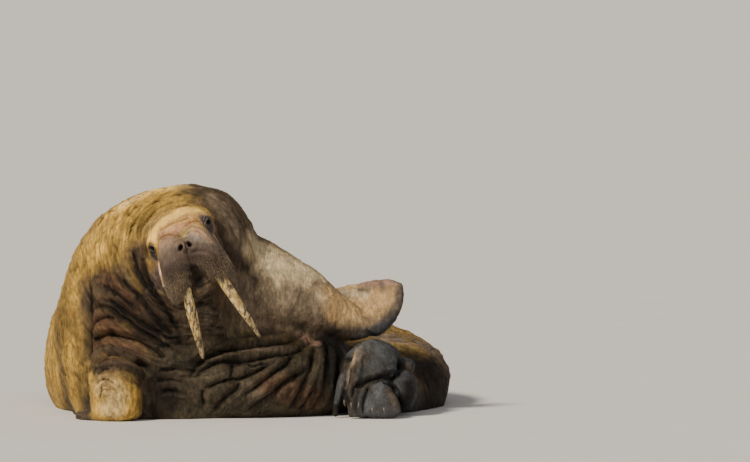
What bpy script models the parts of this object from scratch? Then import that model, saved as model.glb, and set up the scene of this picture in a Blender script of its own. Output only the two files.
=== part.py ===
"""A bull walrus at rest: curled on the ground, propped on its right fore flipper, head raised.

Metres, +Z up. The animal faces -Y, its right side lies towards -X, and its hips curl round to +X.
The body is modelled whole from lofted masses, fused, smoothed and creased, then parted by thin cuts.
"""

import math

import bmesh
import bpy
import numpy as np
from mathutils import Euler, Matrix, Vector
from mathutils.bvhtree import BVHTree

GAP = 0.0003  # clearance kept between two nodes that meet
BODY_VOXEL = 0.020  # grid of the first, broad fusion of the blubber masses
HEAD_VOXEL = 0.006
SKIN_VOXEL = 0.0062  # grid of the whole animal before it is thinned out
HEAD_TRIANGLES = 3000
BODY_TRIANGLES = 4700
RING_POINTS = 56
DOME = np.radians([75, 55, 35, 18])  # rings of a rounded end, as angles from its rim

# Middle of the animal's footprint in the axes that the stations below use; the part is moved there last
FOOTPRINT_MIDDLE = Vector((0.061, 0.361, 0.0))

# Colour and roughness of each finish
FINISHES = {
    "hide": ((0.33, 0.22, 0.12), 0.75),
    "face": ((0.38, 0.27, 0.19), 0.70),
    "flipper": ((0.13, 0.11, 0.10), 0.60),
    "ivory": ((0.78, 0.68, 0.48), 0.35),
    "eye": ((0.02, 0.015, 0.012), 0.08),
}

# The creases were drawn in a view taken from here, tilted down a little, through a long lens
VIEWPOINT = Vector((0.634, -27.47, 2.05))
VIEW_TILT = math.radians(2.6)
PIXELS_PER_RADIAN = 6250.0
PICTURE_MIDDLE = (375, 231)

# Head: its own axes have the origin midway between the eyes, +X to its left, -Y out of the muzzle
HEAD_CENTRE = Vector((-0.207, -0.46, 0.806))
HEAD_ROLL = math.radians(-25.0)
HEAD_PITCH = math.radians(4.0)
EYE_CENTRE = Vector((0.121, -0.010, 0.002))  # of its left eye
EYE_LOOK = Vector((0.66, -0.75, 0.05)).normalized()
EYE_RADIUS = 0.0215
EYE_OPENING = (0.0130, 0.0092)  # half width and half height between the lids
LID_REACH = 0.03  # height over which the upper lid grows thicker
NOSTRIL = (0.0205, -0.033)  # how far out and how high each nostril lies
NOSTRIL_HALF = (0.0092, 0.0138)  # half width and half height of each
NOSTRIL_DEPTH = 0.026
NOSTRIL_SLANT = math.radians(30)
NOSE_SHIFT = 0.004  # the nose stands a little towards its left eye
MOUTH_HEIGHT = -0.172
MOUTH_HALF = (0.040, 0.034)  # half width and half height of the hollow between the whisker pads
MOUTH_DEPTH = 0.026
LIP_HEIGHT = -0.220
LIP_HALF_WIDTH = 0.058
FACE_MIDDLE = (0, -0.06, -0.07)
FACE_RADIUS = 0.225  # within it the triangles are finer
MUZZLE_MIDDLE = (0.0, -0.108)  # point of the outline that its front closes on: x, z
# Half of the muzzle seen from the front, from the middle of its top edge round to the mouth: x, z
MUZZLE_OUTLINE = [
    (0, 0.012), (0.030, 0.027), (0.068, 0.030), (0.100, 0.012), (0.122, -0.032), (0.137, -0.085),
    (0.147, -0.135), (0.149, -0.182), (0.142, -0.216), (0.122, -0.233), (0.098, -0.222), (0.074, -0.203),
    (0.050, -0.194), (0.025, -0.194), (0, -0.194),
]
MUZZLE_FRONT = 0.178  # how far the muzzle reaches ahead of the eyes
MUZZLE_POWER = 2.9  # squareness of its profile
MUZZLE_WIDEST = 0.060  # how far ahead of the eyes it is widest
MUZZLE_BACK = 0.030  # how far behind the eyes it begins
MUZZLE_TAPER = 0.10  # how much smaller it is at the back
# Tusks in the head's own axes, from the hidden root down: x, y, z, half width, half depth
RIGHT_TUSK = [
    (-0.052, -0.106, -0.150, 0.0180, 0.0170),
    (-0.069, -0.114, -0.205, 0.0196, 0.0180),
    (-0.084, -0.117, -0.265, 0.0220, 0.0195),
    (-0.095, -0.116, -0.317, 0.0228, 0.0195),
    (-0.107, -0.111, -0.377, 0.0200, 0.0175),
    (-0.119, -0.103, -0.437, 0.0150, 0.0138),
    (-0.131, -0.093, -0.496, 0.0100, 0.0095),
    (-0.135, -0.088, -0.516, 0.0065, 0.0062),
]
LEFT_TUSK = [
    (0.068, -0.106, -0.150, 0.0190, 0.0175),
    (0.081, -0.114, -0.213, 0.0226, 0.0195),
    (0.091, -0.118, -0.271, 0.0234, 0.0200),
    (0.103, -0.115, -0.356, 0.0205, 0.0180),
    (0.115, -0.105, -0.444, 0.0156, 0.0142),
    (0.123, -0.094, -0.512, 0.0095, 0.0090),
    (0.126, -0.088, -0.536, 0.0065, 0.0062),
]

WHISKER_RADIUS = 0.0019
WHISKER_ROWS = 6
WHISKER_CLEARANCE = 0.004
WHISKER_BEND = 0.12
WHISKER_SUNK = 0.007  # length of each below the skin
WHISKER_LENGTH = (0.026, 0.0045)  # of the top row, and how much each row below adds
WHISKER_LIFT = (14, 15.5)  # degrees over the level of the top row, and how much lower each row is
WHISKER_SWING = (-24, 118)  # degrees from straight ahead where a row starts, and how far round it runs
WHISKER_STAGGER = 7  # degrees by which every other row is turned
PAD_MIDDLE = Vector((0.078, -0.085, -0.115))
MOUTH_CLEAR = 0.055  # no bristle stands nearer to the middle below this height
MOUTH_TOP = -0.13
NOSE_CLEAR = 0.03

# Claws of the hind flippers: where the picture shows each, and the way it points
LEFT_FOOT_CLAWS = [
    ((344, 402), (-0.3, -0.5, -0.7)),
    ((351, 404), (-0.1, -0.5, -0.7)),
]
RIGHT_FOOT_CLAWS = [
    ((359, 404), (0, -0.6, -0.5)),
    ((372, 409), (0, -0.6, -0.5)),
    ((384, 409), (0.1, -0.6, -0.5)),
]
CLAW_LENGTH = 0.020
CLAW_RADIUS = 0.0045
CLAW_SUNK = (0.35, 0.3)  # share of its radius and of its length that lie in the flesh

# Trunk, from the chest back and round to the tail base: x, y, height of widest place, half width, top
TRUNK = [
    (-0.30, -0.20, 0.20, 0.38, 0.52),
    (-0.29, 0.06, 0.18, 0.455, 0.70),
    (-0.300, 0.38, 0.17, 0.548, 0.715),
    (-0.21, 0.70, 0.17, 0.530, 0.665),
    (0.09, 0.92, 0.16, 0.465, 0.57),
    (0.39, 0.90, 0.14, 0.395, 0.44),
    (0.60, 0.69, 0.13, 0.355, 0.345),
    (0.675, 0.44, 0.11, 0.290, 0.295),
    (0.675, 0.22, 0.08, 0.205, 0.235),
    (0.675, 0.06, 0.06, 0.130, 0.175),
]
TRUNK_POWER = 2.25  # squareness of its sections
TRUNK_SUNK = 0.16  # how far its sections reach below the floor, where they are flattened
TRUNK_FRONT = 0.20  # length of its rounded front end
TRUNK_BACK = 0.06  # and of the one at the tail base
# Neck, from inside the chest up to the nape: x, y, z, half width, half depth
NECK = [
    (-0.290, 0.03, -0.04, 0.400, 0.40),
    (-0.300, 0.02, 0.10, 0.430, 0.42),
    (-0.315, 0.01, 0.25, 0.455, 0.435),
    (-0.320, -0.01, 0.42, 0.455, 0.430),
    (-0.305, -0.03, 0.56, 0.435, 0.410),
    (-0.283, -0.05, 0.69, 0.415, 0.385),
    (-0.262, -0.07, 0.80, 0.372, 0.350),
    (-0.245, -0.085, 0.885, 0.312, 0.290),
    (-0.215, -0.095, 0.955, 0.225, 0.210),
    (-0.195, -0.10, 0.992, 0.130, 0.120),
    (-0.188, -0.10, 1.006, 0.060, 0.055),
]
# Belly that bulges forward between the two fore limbs: x, y, z, half depth, half height
BELLY = [
    (-0.36, -0.06, 0.165, 0.32, 0.20),
    (-0.15, -0.08, 0.175, 0.33, 0.22),
    (0.08, -0.05, 0.170, 0.335, 0.225),
    (0.27, 0.02, 0.160, 0.30, 0.215),
    (0.40, 0.12, 0.150, 0.22, 0.19),
]
# Left fore limb, shoulder to wrist: x, y, z, half depth, half height
LEFT_ARM = [
    (-0.12, 0.03, 0.585, 0.30, 0.275),
    (0.05, 0.02, 0.56, 0.265, 0.24),
    (0.18, 0.00, 0.53, 0.225, 0.198),
    (0.30, -0.02, 0.50, 0.17, 0.156),
    (0.39, -0.03, 0.460, 0.125, 0.122),
    (0.47, -0.035, 0.422, 0.088, 0.102),
    (0.55, -0.035, 0.393, 0.056, 0.076),
    (0.62, -0.035, 0.375, 0.032, 0.050),
]
FLIPPER_MARGIN = 0.16  # share of a flipper's width over which its edge thins out
FLIPPER_EDGE = 0.25  # thickness left at the edge
# Where the skin is smoothed over the joint between limb and hand
WRIST = (0.46, -0.05, 0.46)
PALM_HEEL = (0.61, -0.06, 0.365)
# Right fore limb, from inside the chest down to the wrist
RIGHT_ARM = [
    (-0.46, -0.14, 0.31, 0.150, 0.130),
    (-0.475, -0.29, 0.255, 0.130, 0.115),
    (-0.485, -0.385, 0.185, 0.120, 0.112),
    (-0.487, -0.425, 0.105, 0.116, 0.108),
    (-0.485, -0.435, 0.035, 0.112, 0.100),
]
# Cuts between the nodes. A bowl has a centre and three radii, a block two corners,
# and axes have an origin, the way their +Y looks, and the way up
TAIL_BOWL = ((0.768, 0.00, 0.222), (0.052, 0.16, 0.040))
HIND_FLIPPERS_BOWL = ((0.645, -0.19, 0.13), (0.225, 0.23, 0.235))
RIGHT_FOOT_AXES = ((0.53, 0, 0.105), (0, 1, 0), (-0.42, 0, 1))
RIGHT_FOOT_BLOCK = ((0.0, -0.6, -0.5), (0.5, 0.3, 0.0))
LEFT_ARM_AXES = ((0.345, -0.03, 0.345), (1, 0, -0.13))
LEFT_ARM_BLOCK = ((-0.33, 0, 0), (0.30, 0.6, 0.5))
HEAD_BOWL = ((0, -0.02, -0.065), (0.176, 0.26, 0.200))
RIGHT_ARM_BOWL = ((-0.487, -0.48, 0.06), (0.132, 0.22, 0.215))
RIGHT_HAND_BOWL = ((-0.575, -0.40, 0.02), (0.115, 0.24, 0.050))
HIPS_AXES = ((0.50, 0.10, 0), (-0.25, 1, 0))
HIPS_BLOCK = ((0, -1.0, -0.5), (1.5, 2.0, 1.0))
ABDOMEN_BLOCK = ((-2.0, 0.34, -0.5), (1.5, 2.5, 1.5))
NECK_AXES = ((-0.25, 0, 0.62), (0, 1, 0), (-0.42, 0, 1))
NECK_BLOCK = ((-1.5, -1.5, 0.0), (1.5, 1.5, 1.0))
JAW_BLOCK = ((-0.050, -0.40, -0.40), (0.050, -0.005, -0.210))
MUZZLE_CUT = ((-0.30, -0.50, -0.50), (0.30, -0.052, 0.30))

FOLD_REACH = 3.4  # a fold moves the skin this many half widths away from its line
FOLD_ENDS = 0.16  # share of its length over which each end fades out
ROLL_AWAY = 1.8  # the rolls beside it lie this many half widths away
ROLL_WIDTH = 0.85
ROLL_STOP = 0.006  # depth of groove in which no roll is left
# Skin folds, each drawn through points of the picture, with its depth, half width and the roll beside it
FOLDS = {
    # Under the overhanging chest, then the fan of belly folds that spreads from the armpit
    "chest edge": (
        [(306, 331), (296, 336), (285, 340), (272, 342), (260, 344), (245, 346), (231, 348),
         (215, 353), (202, 361), (190, 377)],
        0.026, 0.016, 0.008,
    ),
    "chest edge, lower": (
        [(316, 336), (306, 344), (296, 350), (282, 353), (270, 355), (260, 357), (247, 360),
         (232, 361), (221, 361), (211, 365), (202, 371), (195, 378)],
        0.024, 0.015, 0.008,
    ),
    "belly fan 1": (
        [(296, 350), (292, 356), (286, 365), (277, 371), (270, 377), (262, 383), (255, 389),
         (245, 395)],
        0.018, 0.013, 0.007,
    ),
    "belly fan 2": (
        [(276, 361), (267, 366), (260, 370), (251, 375), (240, 379), (232, 379), (222, 382),
         (210, 387), (204, 388)],
        0.017, 0.012, 0.006,
    ),
    "belly fan 3": (
        [(310, 367), (300, 374), (290, 380), (282, 386), (274, 394), (265, 400), (256, 406),
         (247, 412)],
        0.018, 0.013, 0.007,
    ),
    "belly fan 4": (
        [(316, 345), (314, 357), (311, 370), (306, 382), (301, 392), (296, 401), (291, 410)],
        0.020, 0.013, 0.008,
    ),
    "belly fan 5": ([(315, 390), (310, 397), (304, 405), (299, 411)], 0.014, 0.010, 0.004),
    "belly fan 6": (
        [(329, 344), (329, 361), (327, 380), (325, 392), (319, 402), (312, 411)],
        0.022, 0.014, 0.008,
    ),
    "belly fan 7": ([(240, 381), (236, 390), (227, 397), (220, 404), (214, 410)], 0.015, 0.011, 0.005),
    "belly fan 8": ([(203, 390), (202, 397), (204, 406)], 0.012, 0.010, 0.004),
    "belly fan 9": ([(232, 361), (232, 370), (230, 379)], 0.013, 0.010, 0.004),
    "belly fan 10": ([(247, 361), (252, 366), (261, 364), (271, 363)], 0.011, 0.009, 0.003),
    # Rolls over the right fore limb
    "roll over the right limb": (
        [(91, 343), (96, 339), (105, 336), (114, 336), (122, 338), (134, 341), (145, 346),
         (158, 354), (166, 361)],
        0.026, 0.015, 0.013,
    ),
    "roll over the right limb, lower": (
        [(93, 373), (95, 363), (101, 356), (109, 354), (119, 354), (129, 358), (139, 363),
         (146, 369), (151, 376)],
        0.024, 0.013, 0.010,
    ),
    "right limb wrinkle": (
        [(98, 365), (104, 360), (112, 358), (121, 359), (128, 362)],
        0.007, 0.008, 0.002,
    ),
    "right wrist": ([(98, 399), (101, 391), (106, 389), (111, 391)], 0.010, 0.008, 0.005),
    "right shoulder": ([(91, 334), (94, 324), (101, 319), (108, 318), (115, 319)], 0.014, 0.011, 0.006),
    # Long diagonals from the flap at the left down to the middle of the chest
    "diagonal 1": (
        [(91, 309), (102, 307), (112, 310), (119, 317), (128, 321), (136, 329), (145, 334),
         (154, 339), (164, 346), (174, 351)],
        0.022, 0.014, 0.010,
    ),
    "diagonal 2": (
        [(99, 299), (112, 303), (124, 311), (138, 321), (152, 329), (166, 337), (180, 344),
         (188, 349)],
        0.016, 0.012, 0.008,
    ),
    "diagonal 3": (
        [(112, 272), (124, 283), (134, 292), (142, 301), (152, 312), (160, 324), (168, 332),
         (180, 342)],
        0.014, 0.012, 0.006,
    ),
    "diagonal 4": (
        [(131, 262), (137, 275), (146, 286), (156, 297), (166, 309), (174, 322), (182, 335)],
        0.012, 0.011, 0.006,
    ),
    "diagonal 5": ([(103, 285), (111, 291), (121, 297), (131, 305), (141, 313)], 0.010, 0.010, 0.004),
    # Edge of the flap of skin down the left
    "flap edge": (
        [(90, 268), (89, 285), (90, 300), (91, 320), (90, 340), (91, 360), (93, 383)],
        0.016, 0.013, 0.010,
    ),
    # Hood round the crown and behind the face
    "hood edge": (
        [(150, 262), (147, 252), (147, 240), (151, 226), (164, 213), (178, 208), (192, 206),
         (204, 209), (213, 220), (219, 234), (225, 250)],
        0.012, 0.010, 0.007,
    ),
    "hood cheek": (
        [(143, 258), (146, 270), (151, 283), (158, 297), (167, 308), (178, 314)],
        0.016, 0.012, 0.009,
    ),
    "hood cheek, outer": ([(133, 246), (135, 262), (141, 277), (149, 291)], 0.010, 0.010, 0.005),
    "hood ripple 1": (
        [(139, 240), (141, 229), (147, 219), (157, 209), (171, 202), (189, 199)],
        0.008, 0.010, 0.005,
    ),
    "hood ripple 2": (
        [(128, 243), (130, 230), (138, 216), (150, 204), (167, 196), (187, 193)],
        0.008, 0.010, 0.005,
    ),
    "hood ripple 3": ([(118, 244), (121, 228), (130, 212), (144, 199), (160, 192)], 0.006, 0.009, 0.004),
    "hood ripple 4": ([(107, 248), (110, 231), (120, 213), (133, 201)], 0.006, 0.009, 0.004),
    # Top edge of the muzzle above each nostril, and the furrow of the brow
    "muzzle top, right": (
        [(158, 248), (161, 241), (168, 235), (177, 234), (183, 237)],
        0.009, 0.006, 0.003,
    ),
    "muzzle top, left": (
        [(183, 235), (187, 229), (193, 225), (199, 225), (205, 228), (211, 234)],
        0.010, 0.006, 0.003,
    ),
    "brow": ([(154, 234), (162, 227), (170, 222), (178, 218), (184, 216)], 0.005, 0.006, 0.003),
    # Dark side of the neck at the right
    "neck side 1": ([(222, 214), (231, 226), (238, 242), (243, 258), (244, 272)], 0.004, 0.010, 0.002),
    "neck side 2": ([(231, 207), (241, 222), (249, 239), (254, 252), (258, 264)], 0.003, 0.010, 0.002),
    # Between the two hind flippers
    "between the hind flippers": (
        [(352, 397), (355, 389), (362, 384), (376, 379), (388, 376), (399, 373)],
        0.022, 0.011, 0.006,
    ),
    "hind toe": ([(364, 415), (364, 402), (366, 391), (371, 384)], 0.018, 0.009, 0.005),
    "heel": ([(383, 382), (391, 386), (397, 393), (400, 405)], 0.016, 0.009, 0.005),
    "hind digit 1": ([(353, 350), (349, 362), (346, 378), (347, 396), (350, 408)], 0.007, 0.008, 0.004),
    "hind digit 2": ([(361, 347), (358, 360), (355, 375)], 0.005, 0.008, 0.003),
}


def unit(v):
    return v / max(np.linalg.norm(v), 1e-9)


def catmull(rows, steps):
    """Rows of numbers read as a smooth curve, with this many steps from each row to the next."""
    rows = np.array(rows, float)
    padded = np.vstack([2 * rows[0] - rows[1], rows, 2 * rows[-1] - rows[-2]])
    out = []
    for i in range(1, len(padded) - 2):
        p0, p1, p2, p3 = padded[i - 1 : i + 3]
        for t in np.arange(steps) / steps:
            out.append(
                0.5
                * (
                    2 * p1
                    + (p2 - p0) * t
                    + (2 * p0 - 5 * p1 + 4 * p2 - p3) * t**2
                    + (3 * p1 - p0 - 3 * p2 + p3) * t**3
                )
            )
    out.append(padded[-2])
    return np.array(out)


def mesh_object(name, points, faces):
    mesh = bpy.data.meshes.new(name)
    mesh.from_pydata([tuple(p) for p in points], [], faces)
    body = bmesh.new()
    body.from_mesh(mesh)
    bmesh.ops.recalc_face_normals(body, faces=body.faces)
    body.to_mesh(mesh)
    body.free()
    obj = bpy.data.objects.new(name, mesh)
    bpy.context.scene.collection.objects.link(obj)
    return obj


def loft(name, rings):
    """A closed skin over rings of equal point count, each end closed by a fan of triangles."""
    count = len(rings[0])
    points = np.vstack([*rings, rings[0].mean(0)[None], rings[-1].mean(0)[None]])
    first_pole, last_pole = len(points) - 2, len(points) - 1
    last = (len(rings) - 1) * count
    faces = []
    for r in range(len(rings) - 1):
        for k in range(count):
            n = (k + 1) % count
            faces.append((r * count + k, r * count + n, (r + 1) * count + n, (r + 1) * count + k))
    for k in range(count):
        n = (k + 1) % count
        faces.append((first_pole, n, k))
        faces.append((last_pole, last + k, last + n))
    return mesh_object(name, points, faces)


def tube(name, stations, side_hint, steps=5, power=2.2, round_ends=(1.0, 1.0), level=False,
         count=RING_POINTS):
    """A limb: superelliptic sections along a smooth path, with domed ends. Level sections stay flat."""
    rows = catmull(stations, steps)
    centres = rows[:, :3]
    tangents = np.gradient(centres, axis=0)
    if level:
        tangents[:, :2] = 0
    angle = np.linspace(0, 2 * math.pi, count, endpoint=False)
    across = np.sign(np.cos(angle)) * np.abs(np.cos(angle)) ** (2 / power)
    upward = np.sign(np.sin(angle)) * np.abs(np.sin(angle)) ** (2 / power)

    def section(i, shrink, shift):
        along = unit(tangents[i])
        side = unit(np.array(side_hint, float) - np.dot(side_hint, along) * along)
        up = np.cross(along, side)
        a, b = rows[i, 3] * shrink, rows[i, 4] * shrink
        centre = centres[i] + along * shift
        return centre + np.outer(across * a, side) + np.outer(upward * b, up)

    start, end = min(rows[0, 3:5]) * round_ends[0], min(rows[-1, 3:5]) * round_ends[1]
    rings = [section(0, math.cos(t), -start * math.sin(t)) for t in DOME]
    rings += [section(i, 1.0, 0.0) for i in range(len(rows))]
    rings += [section(len(rows) - 1, math.cos(t), end * math.sin(t)) for t in DOME[::-1]]
    return loft(name, rings)


def trunk_tube():
    """The trunk turns in the floor plane, and its blubber sags so that it is widest low down."""
    rows = catmull(TRUNK, 5)
    tangents = np.gradient(rows[:, :3], axis=0) * np.array((1, 1, 0))
    angle = np.linspace(0, 2 * math.pi, RING_POINTS, endpoint=False)
    across = np.sign(np.cos(angle)) * np.abs(np.cos(angle)) ** (2 / TRUNK_POWER)
    upward = np.sign(np.sin(angle)) * np.abs(np.sin(angle)) ** (2 / TRUNK_POWER)
    up = np.array((0.0, 0.0, 1.0))

    def section(i, shrink, shift):
        along = unit(tangents[i])
        side = np.cross(along, up)
        centre = rows[i, :3] + along * shift
        height = np.where(upward > 0, rows[i, 4] - rows[i, 2], rows[i, 2] + TRUNK_SUNK)
        return centre + np.outer(across * rows[i, 3] * shrink, side) + np.outer(upward * height * shrink, up)

    rings = [section(0, math.cos(t), -TRUNK_FRONT * math.sin(t)) for t in DOME]
    rings += [section(i, 1.0, 0.0) for i in range(len(rows))]
    rings += [section(len(rows) - 1, math.cos(t), TRUNK_BACK * math.sin(t)) for t in DOME[::-1]]
    return loft("trunk", rings)


def ellipsoid(name, centre, radii, turn=(0, 0, 0), matrix=None):
    bpy.ops.mesh.primitive_uv_sphere_add(segments=40, ring_count=24, radius=1.0)
    obj = bpy.context.object
    obj.name = name
    place = Matrix.LocRotScale(Vector(centre), Euler([math.radians(a) for a in turn]), Vector(radii))
    obj.data.transform((matrix @ place) if matrix else place)
    return obj


def flipper(name, root, middle, tip, thick, ribs=0.28, digits=5, steps=16, across=40):
    """A webbed fan: three curves (root, middle and fingertips) read across the hand, ribbed by digits."""
    rows = [catmull(c, 6) for c in (root, middle, tip)]
    rings = []
    s = np.linspace(0, 1, across)
    curves = []
    for row in rows:
        place = np.linspace(0, 1, len(row))
        curves.append(np.stack([np.interp(s, place, row[:, k]) for k in range(3)], axis=1))
    for f in np.linspace(0, 1, steps):
        line = (1 - f) ** 2 * curves[0] + 2 * f * (1 - f) * curves[1] + f**2 * curves[2]
        ahead = 2 * (1 - f) * (curves[1] - curves[0]) + 2 * f * (curves[2] - curves[1])
        across_dir = np.gradient(line, axis=0)
        normal = np.cross(ahead, across_dir)
        normal /= np.maximum(np.linalg.norm(normal, axis=1)[:, None], 1e-9)
        rib = 1 + ribs * f * np.cos(2 * math.pi * (s * (digits - 1)))
        edge = np.clip(np.minimum(s, 1 - s) / FLIPPER_MARGIN, 0, 1)
        rounding = FLIPPER_EDGE + (1 - FLIPPER_EDGE) * np.sqrt(1 - (1 - edge) ** 2)
        half = (thick[0] + (thick[1] - thick[0]) * f) * rib * rounding
        if f == 1:
            half = half * 0.5
        rings.append(np.vstack([line + normal * half[:, None], (line - normal * half[:, None])[::-1]]))
    return loft(name, rings)


def evaluated_mesh(obj):
    graph = bpy.context.evaluated_depsgraph_get()
    return bpy.data.meshes.new_from_object(obj.evaluated_get(graph))


def bake_modifiers(obj):
    mesh = evaluated_mesh(obj)
    obj.modifiers.clear()
    obj.data = mesh
    return obj


def fuse(name, pieces, voxel, smoothing):
    """Overlapping masses become one closed skin, with the seams between them softened."""
    body = bmesh.new()
    for piece in pieces:
        body.from_mesh(piece.data)
        bpy.data.objects.remove(piece)
    mesh = bpy.data.meshes.new(name)
    body.to_mesh(mesh)
    body.free()
    obj = bpy.data.objects.new(name, mesh)
    bpy.context.scene.collection.objects.link(obj)
    remesh = obj.modifiers.new("fuse", "REMESH")
    remesh.mode = "VOXEL"
    remesh.voxel_size = voxel
    remesh.adaptivity = 0.0
    soften = obj.modifiers.new("soften", "SMOOTH")
    soften.factor = 0.5
    soften.iterations = smoothing
    return bake_modifiers(obj)


def head_matrix():
    return (
        Matrix.Translation(HEAD_CENTRE)
        @ Matrix.Rotation(HEAD_ROLL, 4, "Y")
        @ Matrix.Rotation(HEAD_PITCH, 4, "X")
    )


def muzzle_block():
    """The inflated muzzle: its outline from the front, drawn in at the back and rounded off in front."""
    half = catmull(MUZZLE_OUTLINE, 5)
    outline = np.vstack([half, half[-2:0:-1] * (-1, 1)])
    rings = []
    for along in (MUZZLE_BACK, 0.0, -0.035, -MUZZLE_WIDEST):
        rings.append((along, 1.0 - MUZZLE_TAPER * (along + MUZZLE_WIDEST) / (MUZZLE_BACK + MUZZLE_WIDEST)))
    for ahead in np.radians([16, 32, 46, 58, 69, 79]):
        reach = math.sin(ahead) ** (2 / MUZZLE_POWER)
        rings.append((-MUZZLE_WIDEST - reach * (MUZZLE_FRONT - MUZZLE_WIDEST),
                      math.cos(ahead) ** (2 / MUZZLE_POWER)))
    middle = np.array(MUZZLE_MIDDLE)
    return loft("muzzle_block", [
        np.insert(middle + (outline - middle) * scale, 1, along, axis=1) for along, scale in rings
    ])


def head_masses():
    """Skull, cheeks, muzzle, whisker pads, nose and chin, in the head's own axes."""
    m = head_matrix()
    block = muzzle_block()
    block.data.transform(m)
    masses = [
        block,
        ellipsoid("cranium", (0, 0.08, -0.012), (0.158, 0.19, 0.128), matrix=m),
        ellipsoid("cheeks", (0, 0.06, -0.105), (0.146, 0.16, 0.125), matrix=m),
        ellipsoid("throat", (0.0, 0.10, -0.20), (0.15, 0.17, 0.10), matrix=m),
        ellipsoid("nose", (0, -0.152, -0.030), (0.048, 0.034, 0.034), matrix=m),
        ellipsoid("mouth_floor", (0, -0.060, -0.192), (0.064, 0.082, 0.045), matrix=m),
        ellipsoid("chin", (-0.006, -0.078, -0.240), (0.060, 0.060, 0.036), matrix=m),
    ]
    for side in (-1, 1):
        masses += [
            ellipsoid("pad", (side * 0.074, -0.128, -0.118), (0.064, 0.062, 0.084), (0, side * -10, 0), m),
            ellipsoid("jowl", (side * 0.100, -0.106, -0.168), (0.049, 0.064, 0.058), (0, side * -14, 0), m),
            ellipsoid("brow", (side * 0.112, 0.004, 0.008), (0.040, 0.042, 0.040), matrix=m),
        ]
    return masses


def body_masses():
    right_hand = flipper(
        "right_hand",
        root=[(-0.53, -0.50, 0.016), (-0.42, -0.40, 0.016)],
        middle=[(-0.57, -0.46, 0.020), (-0.54, -0.30, 0.020)],
        tip=[(-0.61, -0.45, 0.012), (-0.655, -0.40, 0.012), (-0.67, -0.33, 0.012), (-0.65, -0.25, 0.012),
             (-0.59, -0.20, 0.012)],
        thick=(0.030, 0.013),
    )
    left_hand = flipper(
        "left_hand",
        root=[(0.42, 0.02, 0.500), (0.51, -0.03, 0.410), (0.640, -0.05, 0.338)],
        middle=[(0.45, 0.07, 0.530), (0.56, 0.04, 0.490), (0.785, -0.02, 0.425)],
        tip=[(0.462, 0.10, 0.538), (0.53, 0.09, 0.560), (0.60, 0.075, 0.577), (0.69, 0.05, 0.590),
             (0.758, 0.03, 0.574)],
        thick=(0.042, 0.013),
    )
    left_foot = flipper(
        "left_foot",
        root=[(0.58, 0.08, 0.14), (0.66, 0.06, 0.18), (0.73, 0.02, 0.19)],
        middle=[(0.490, -0.10, 0.38), (0.62, -0.16, 0.450), (0.735, -0.12, 0.32)],
        tip=[(0.478, -0.25, 0.060), (0.515, -0.285, 0.040), (0.56, -0.29, 0.095), (0.64, -0.265, 0.148),
             (0.725, -0.21, 0.180)],
        thick=(0.050, 0.020),
        ribs=0.14,
    )
    feet = [
        left_foot,
        tube("stripe_digit", [(0.605, -0.13, 0.290, 0.030, 0.026), (0.563, -0.22, 0.258, 0.026, 0.024),
                              (0.545, -0.285, 0.165, 0.024, 0.024), (0.537, -0.325, 0.070, 0.024, 0.022),
                              (0.535, -0.335, 0.022, 0.021, 0.018)], (1, 0, 0)),
        tube("outer_digit", [(0.515, -0.18, 0.230, 0.022, 0.022), (0.484, -0.255, 0.130, 0.018, 0.020),
                             (0.465, -0.285, 0.055, 0.015, 0.016), (0.462, -0.300, 0.018, 0.013, 0.013)],
             (1, 0, 0)),
        tube("toe_a", [(0.630, -0.16, 0.150, 0.026, 0.032), (0.604, -0.27, 0.112, 0.028, 0.034),
                       (0.582, -0.325, 0.064, 0.030, 0.030), (0.570, -0.345, 0.022, 0.030, 0.020)],
             (1, 0, 0)),
        tube("toe_b", [(0.672, -0.12, 0.140, 0.040, 0.040), (0.660, -0.25, 0.122, 0.042, 0.044),
                       (0.668, -0.315, 0.068, 0.068, 0.040), (0.674, -0.345, 0.022, 0.080, 0.022)],
             (1, 0, 0)),
        ellipsoid("heel", (0.755, -0.11, 0.112), (0.073, 0.14, 0.088)),
        tube("tail_nub", [(0.70, 0.24, 0.165, 0.060, 0.055), (0.735, 0.12, 0.190, 0.052, 0.046),
                          (0.765, 0.00, 0.205, 0.044, 0.036), (0.776, -0.08, 0.203, 0.034, 0.030)],
             (1, 0, 0)),
    ]
    return {
        "blubber": [
            trunk_tube(),
            tube("neck", NECK, (1, 0, 0), power=2.1, round_ends=(0.1, 0.2), level=True),
            tube("belly", BELLY, (0, 1, 0), power=2.2, round_ends=(0.3, 0.6)),
            tube("left_arm", LEFT_ARM, (0, 1, 0), power=2.1, round_ends=(0.3, 0.8)),
        ],
        "limbs": [
            tube("right_arm", RIGHT_ARM, (1, 0, 0), power=2.2, round_ends=(0.3, 0.5)),
            right_hand,
            left_hand,
            *feet,
        ],
    }


def sight_line(across, down):
    """Where the eye looks through this point of the picture."""
    ahead = Vector((0, math.cos(VIEW_TILT), -math.sin(VIEW_TILT)))
    up = Vector((0, math.sin(VIEW_TILT), math.cos(VIEW_TILT)))
    right = Vector((1, 0, 0))
    offset = right * (across - PICTURE_MIDDLE[0]) + up * (PICTURE_MIDDLE[1] - down)
    return (ahead + offset / PIXELS_PER_RADIAN).normalized()


def on_skin(tree, outline, steps):
    """A line drawn in the picture, laid on the skin."""
    hits = [tree.ray_cast(VIEWPOINT, sight_line(*point))[0] for point in catmull(outline, steps)]
    return np.array([hit for hit in hits if hit is not None])


def coordinates(mesh):
    co = np.empty(len(mesh.vertices) * 3)
    mesh.vertices.foreach_get("co", co)
    return co.reshape(-1, 3)


def normals_of(mesh):
    normals = np.empty(len(mesh.vertices) * 3)
    mesh.vertex_normals.foreach_get("vector", normals)
    return normals.reshape(-1, 3)


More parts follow.
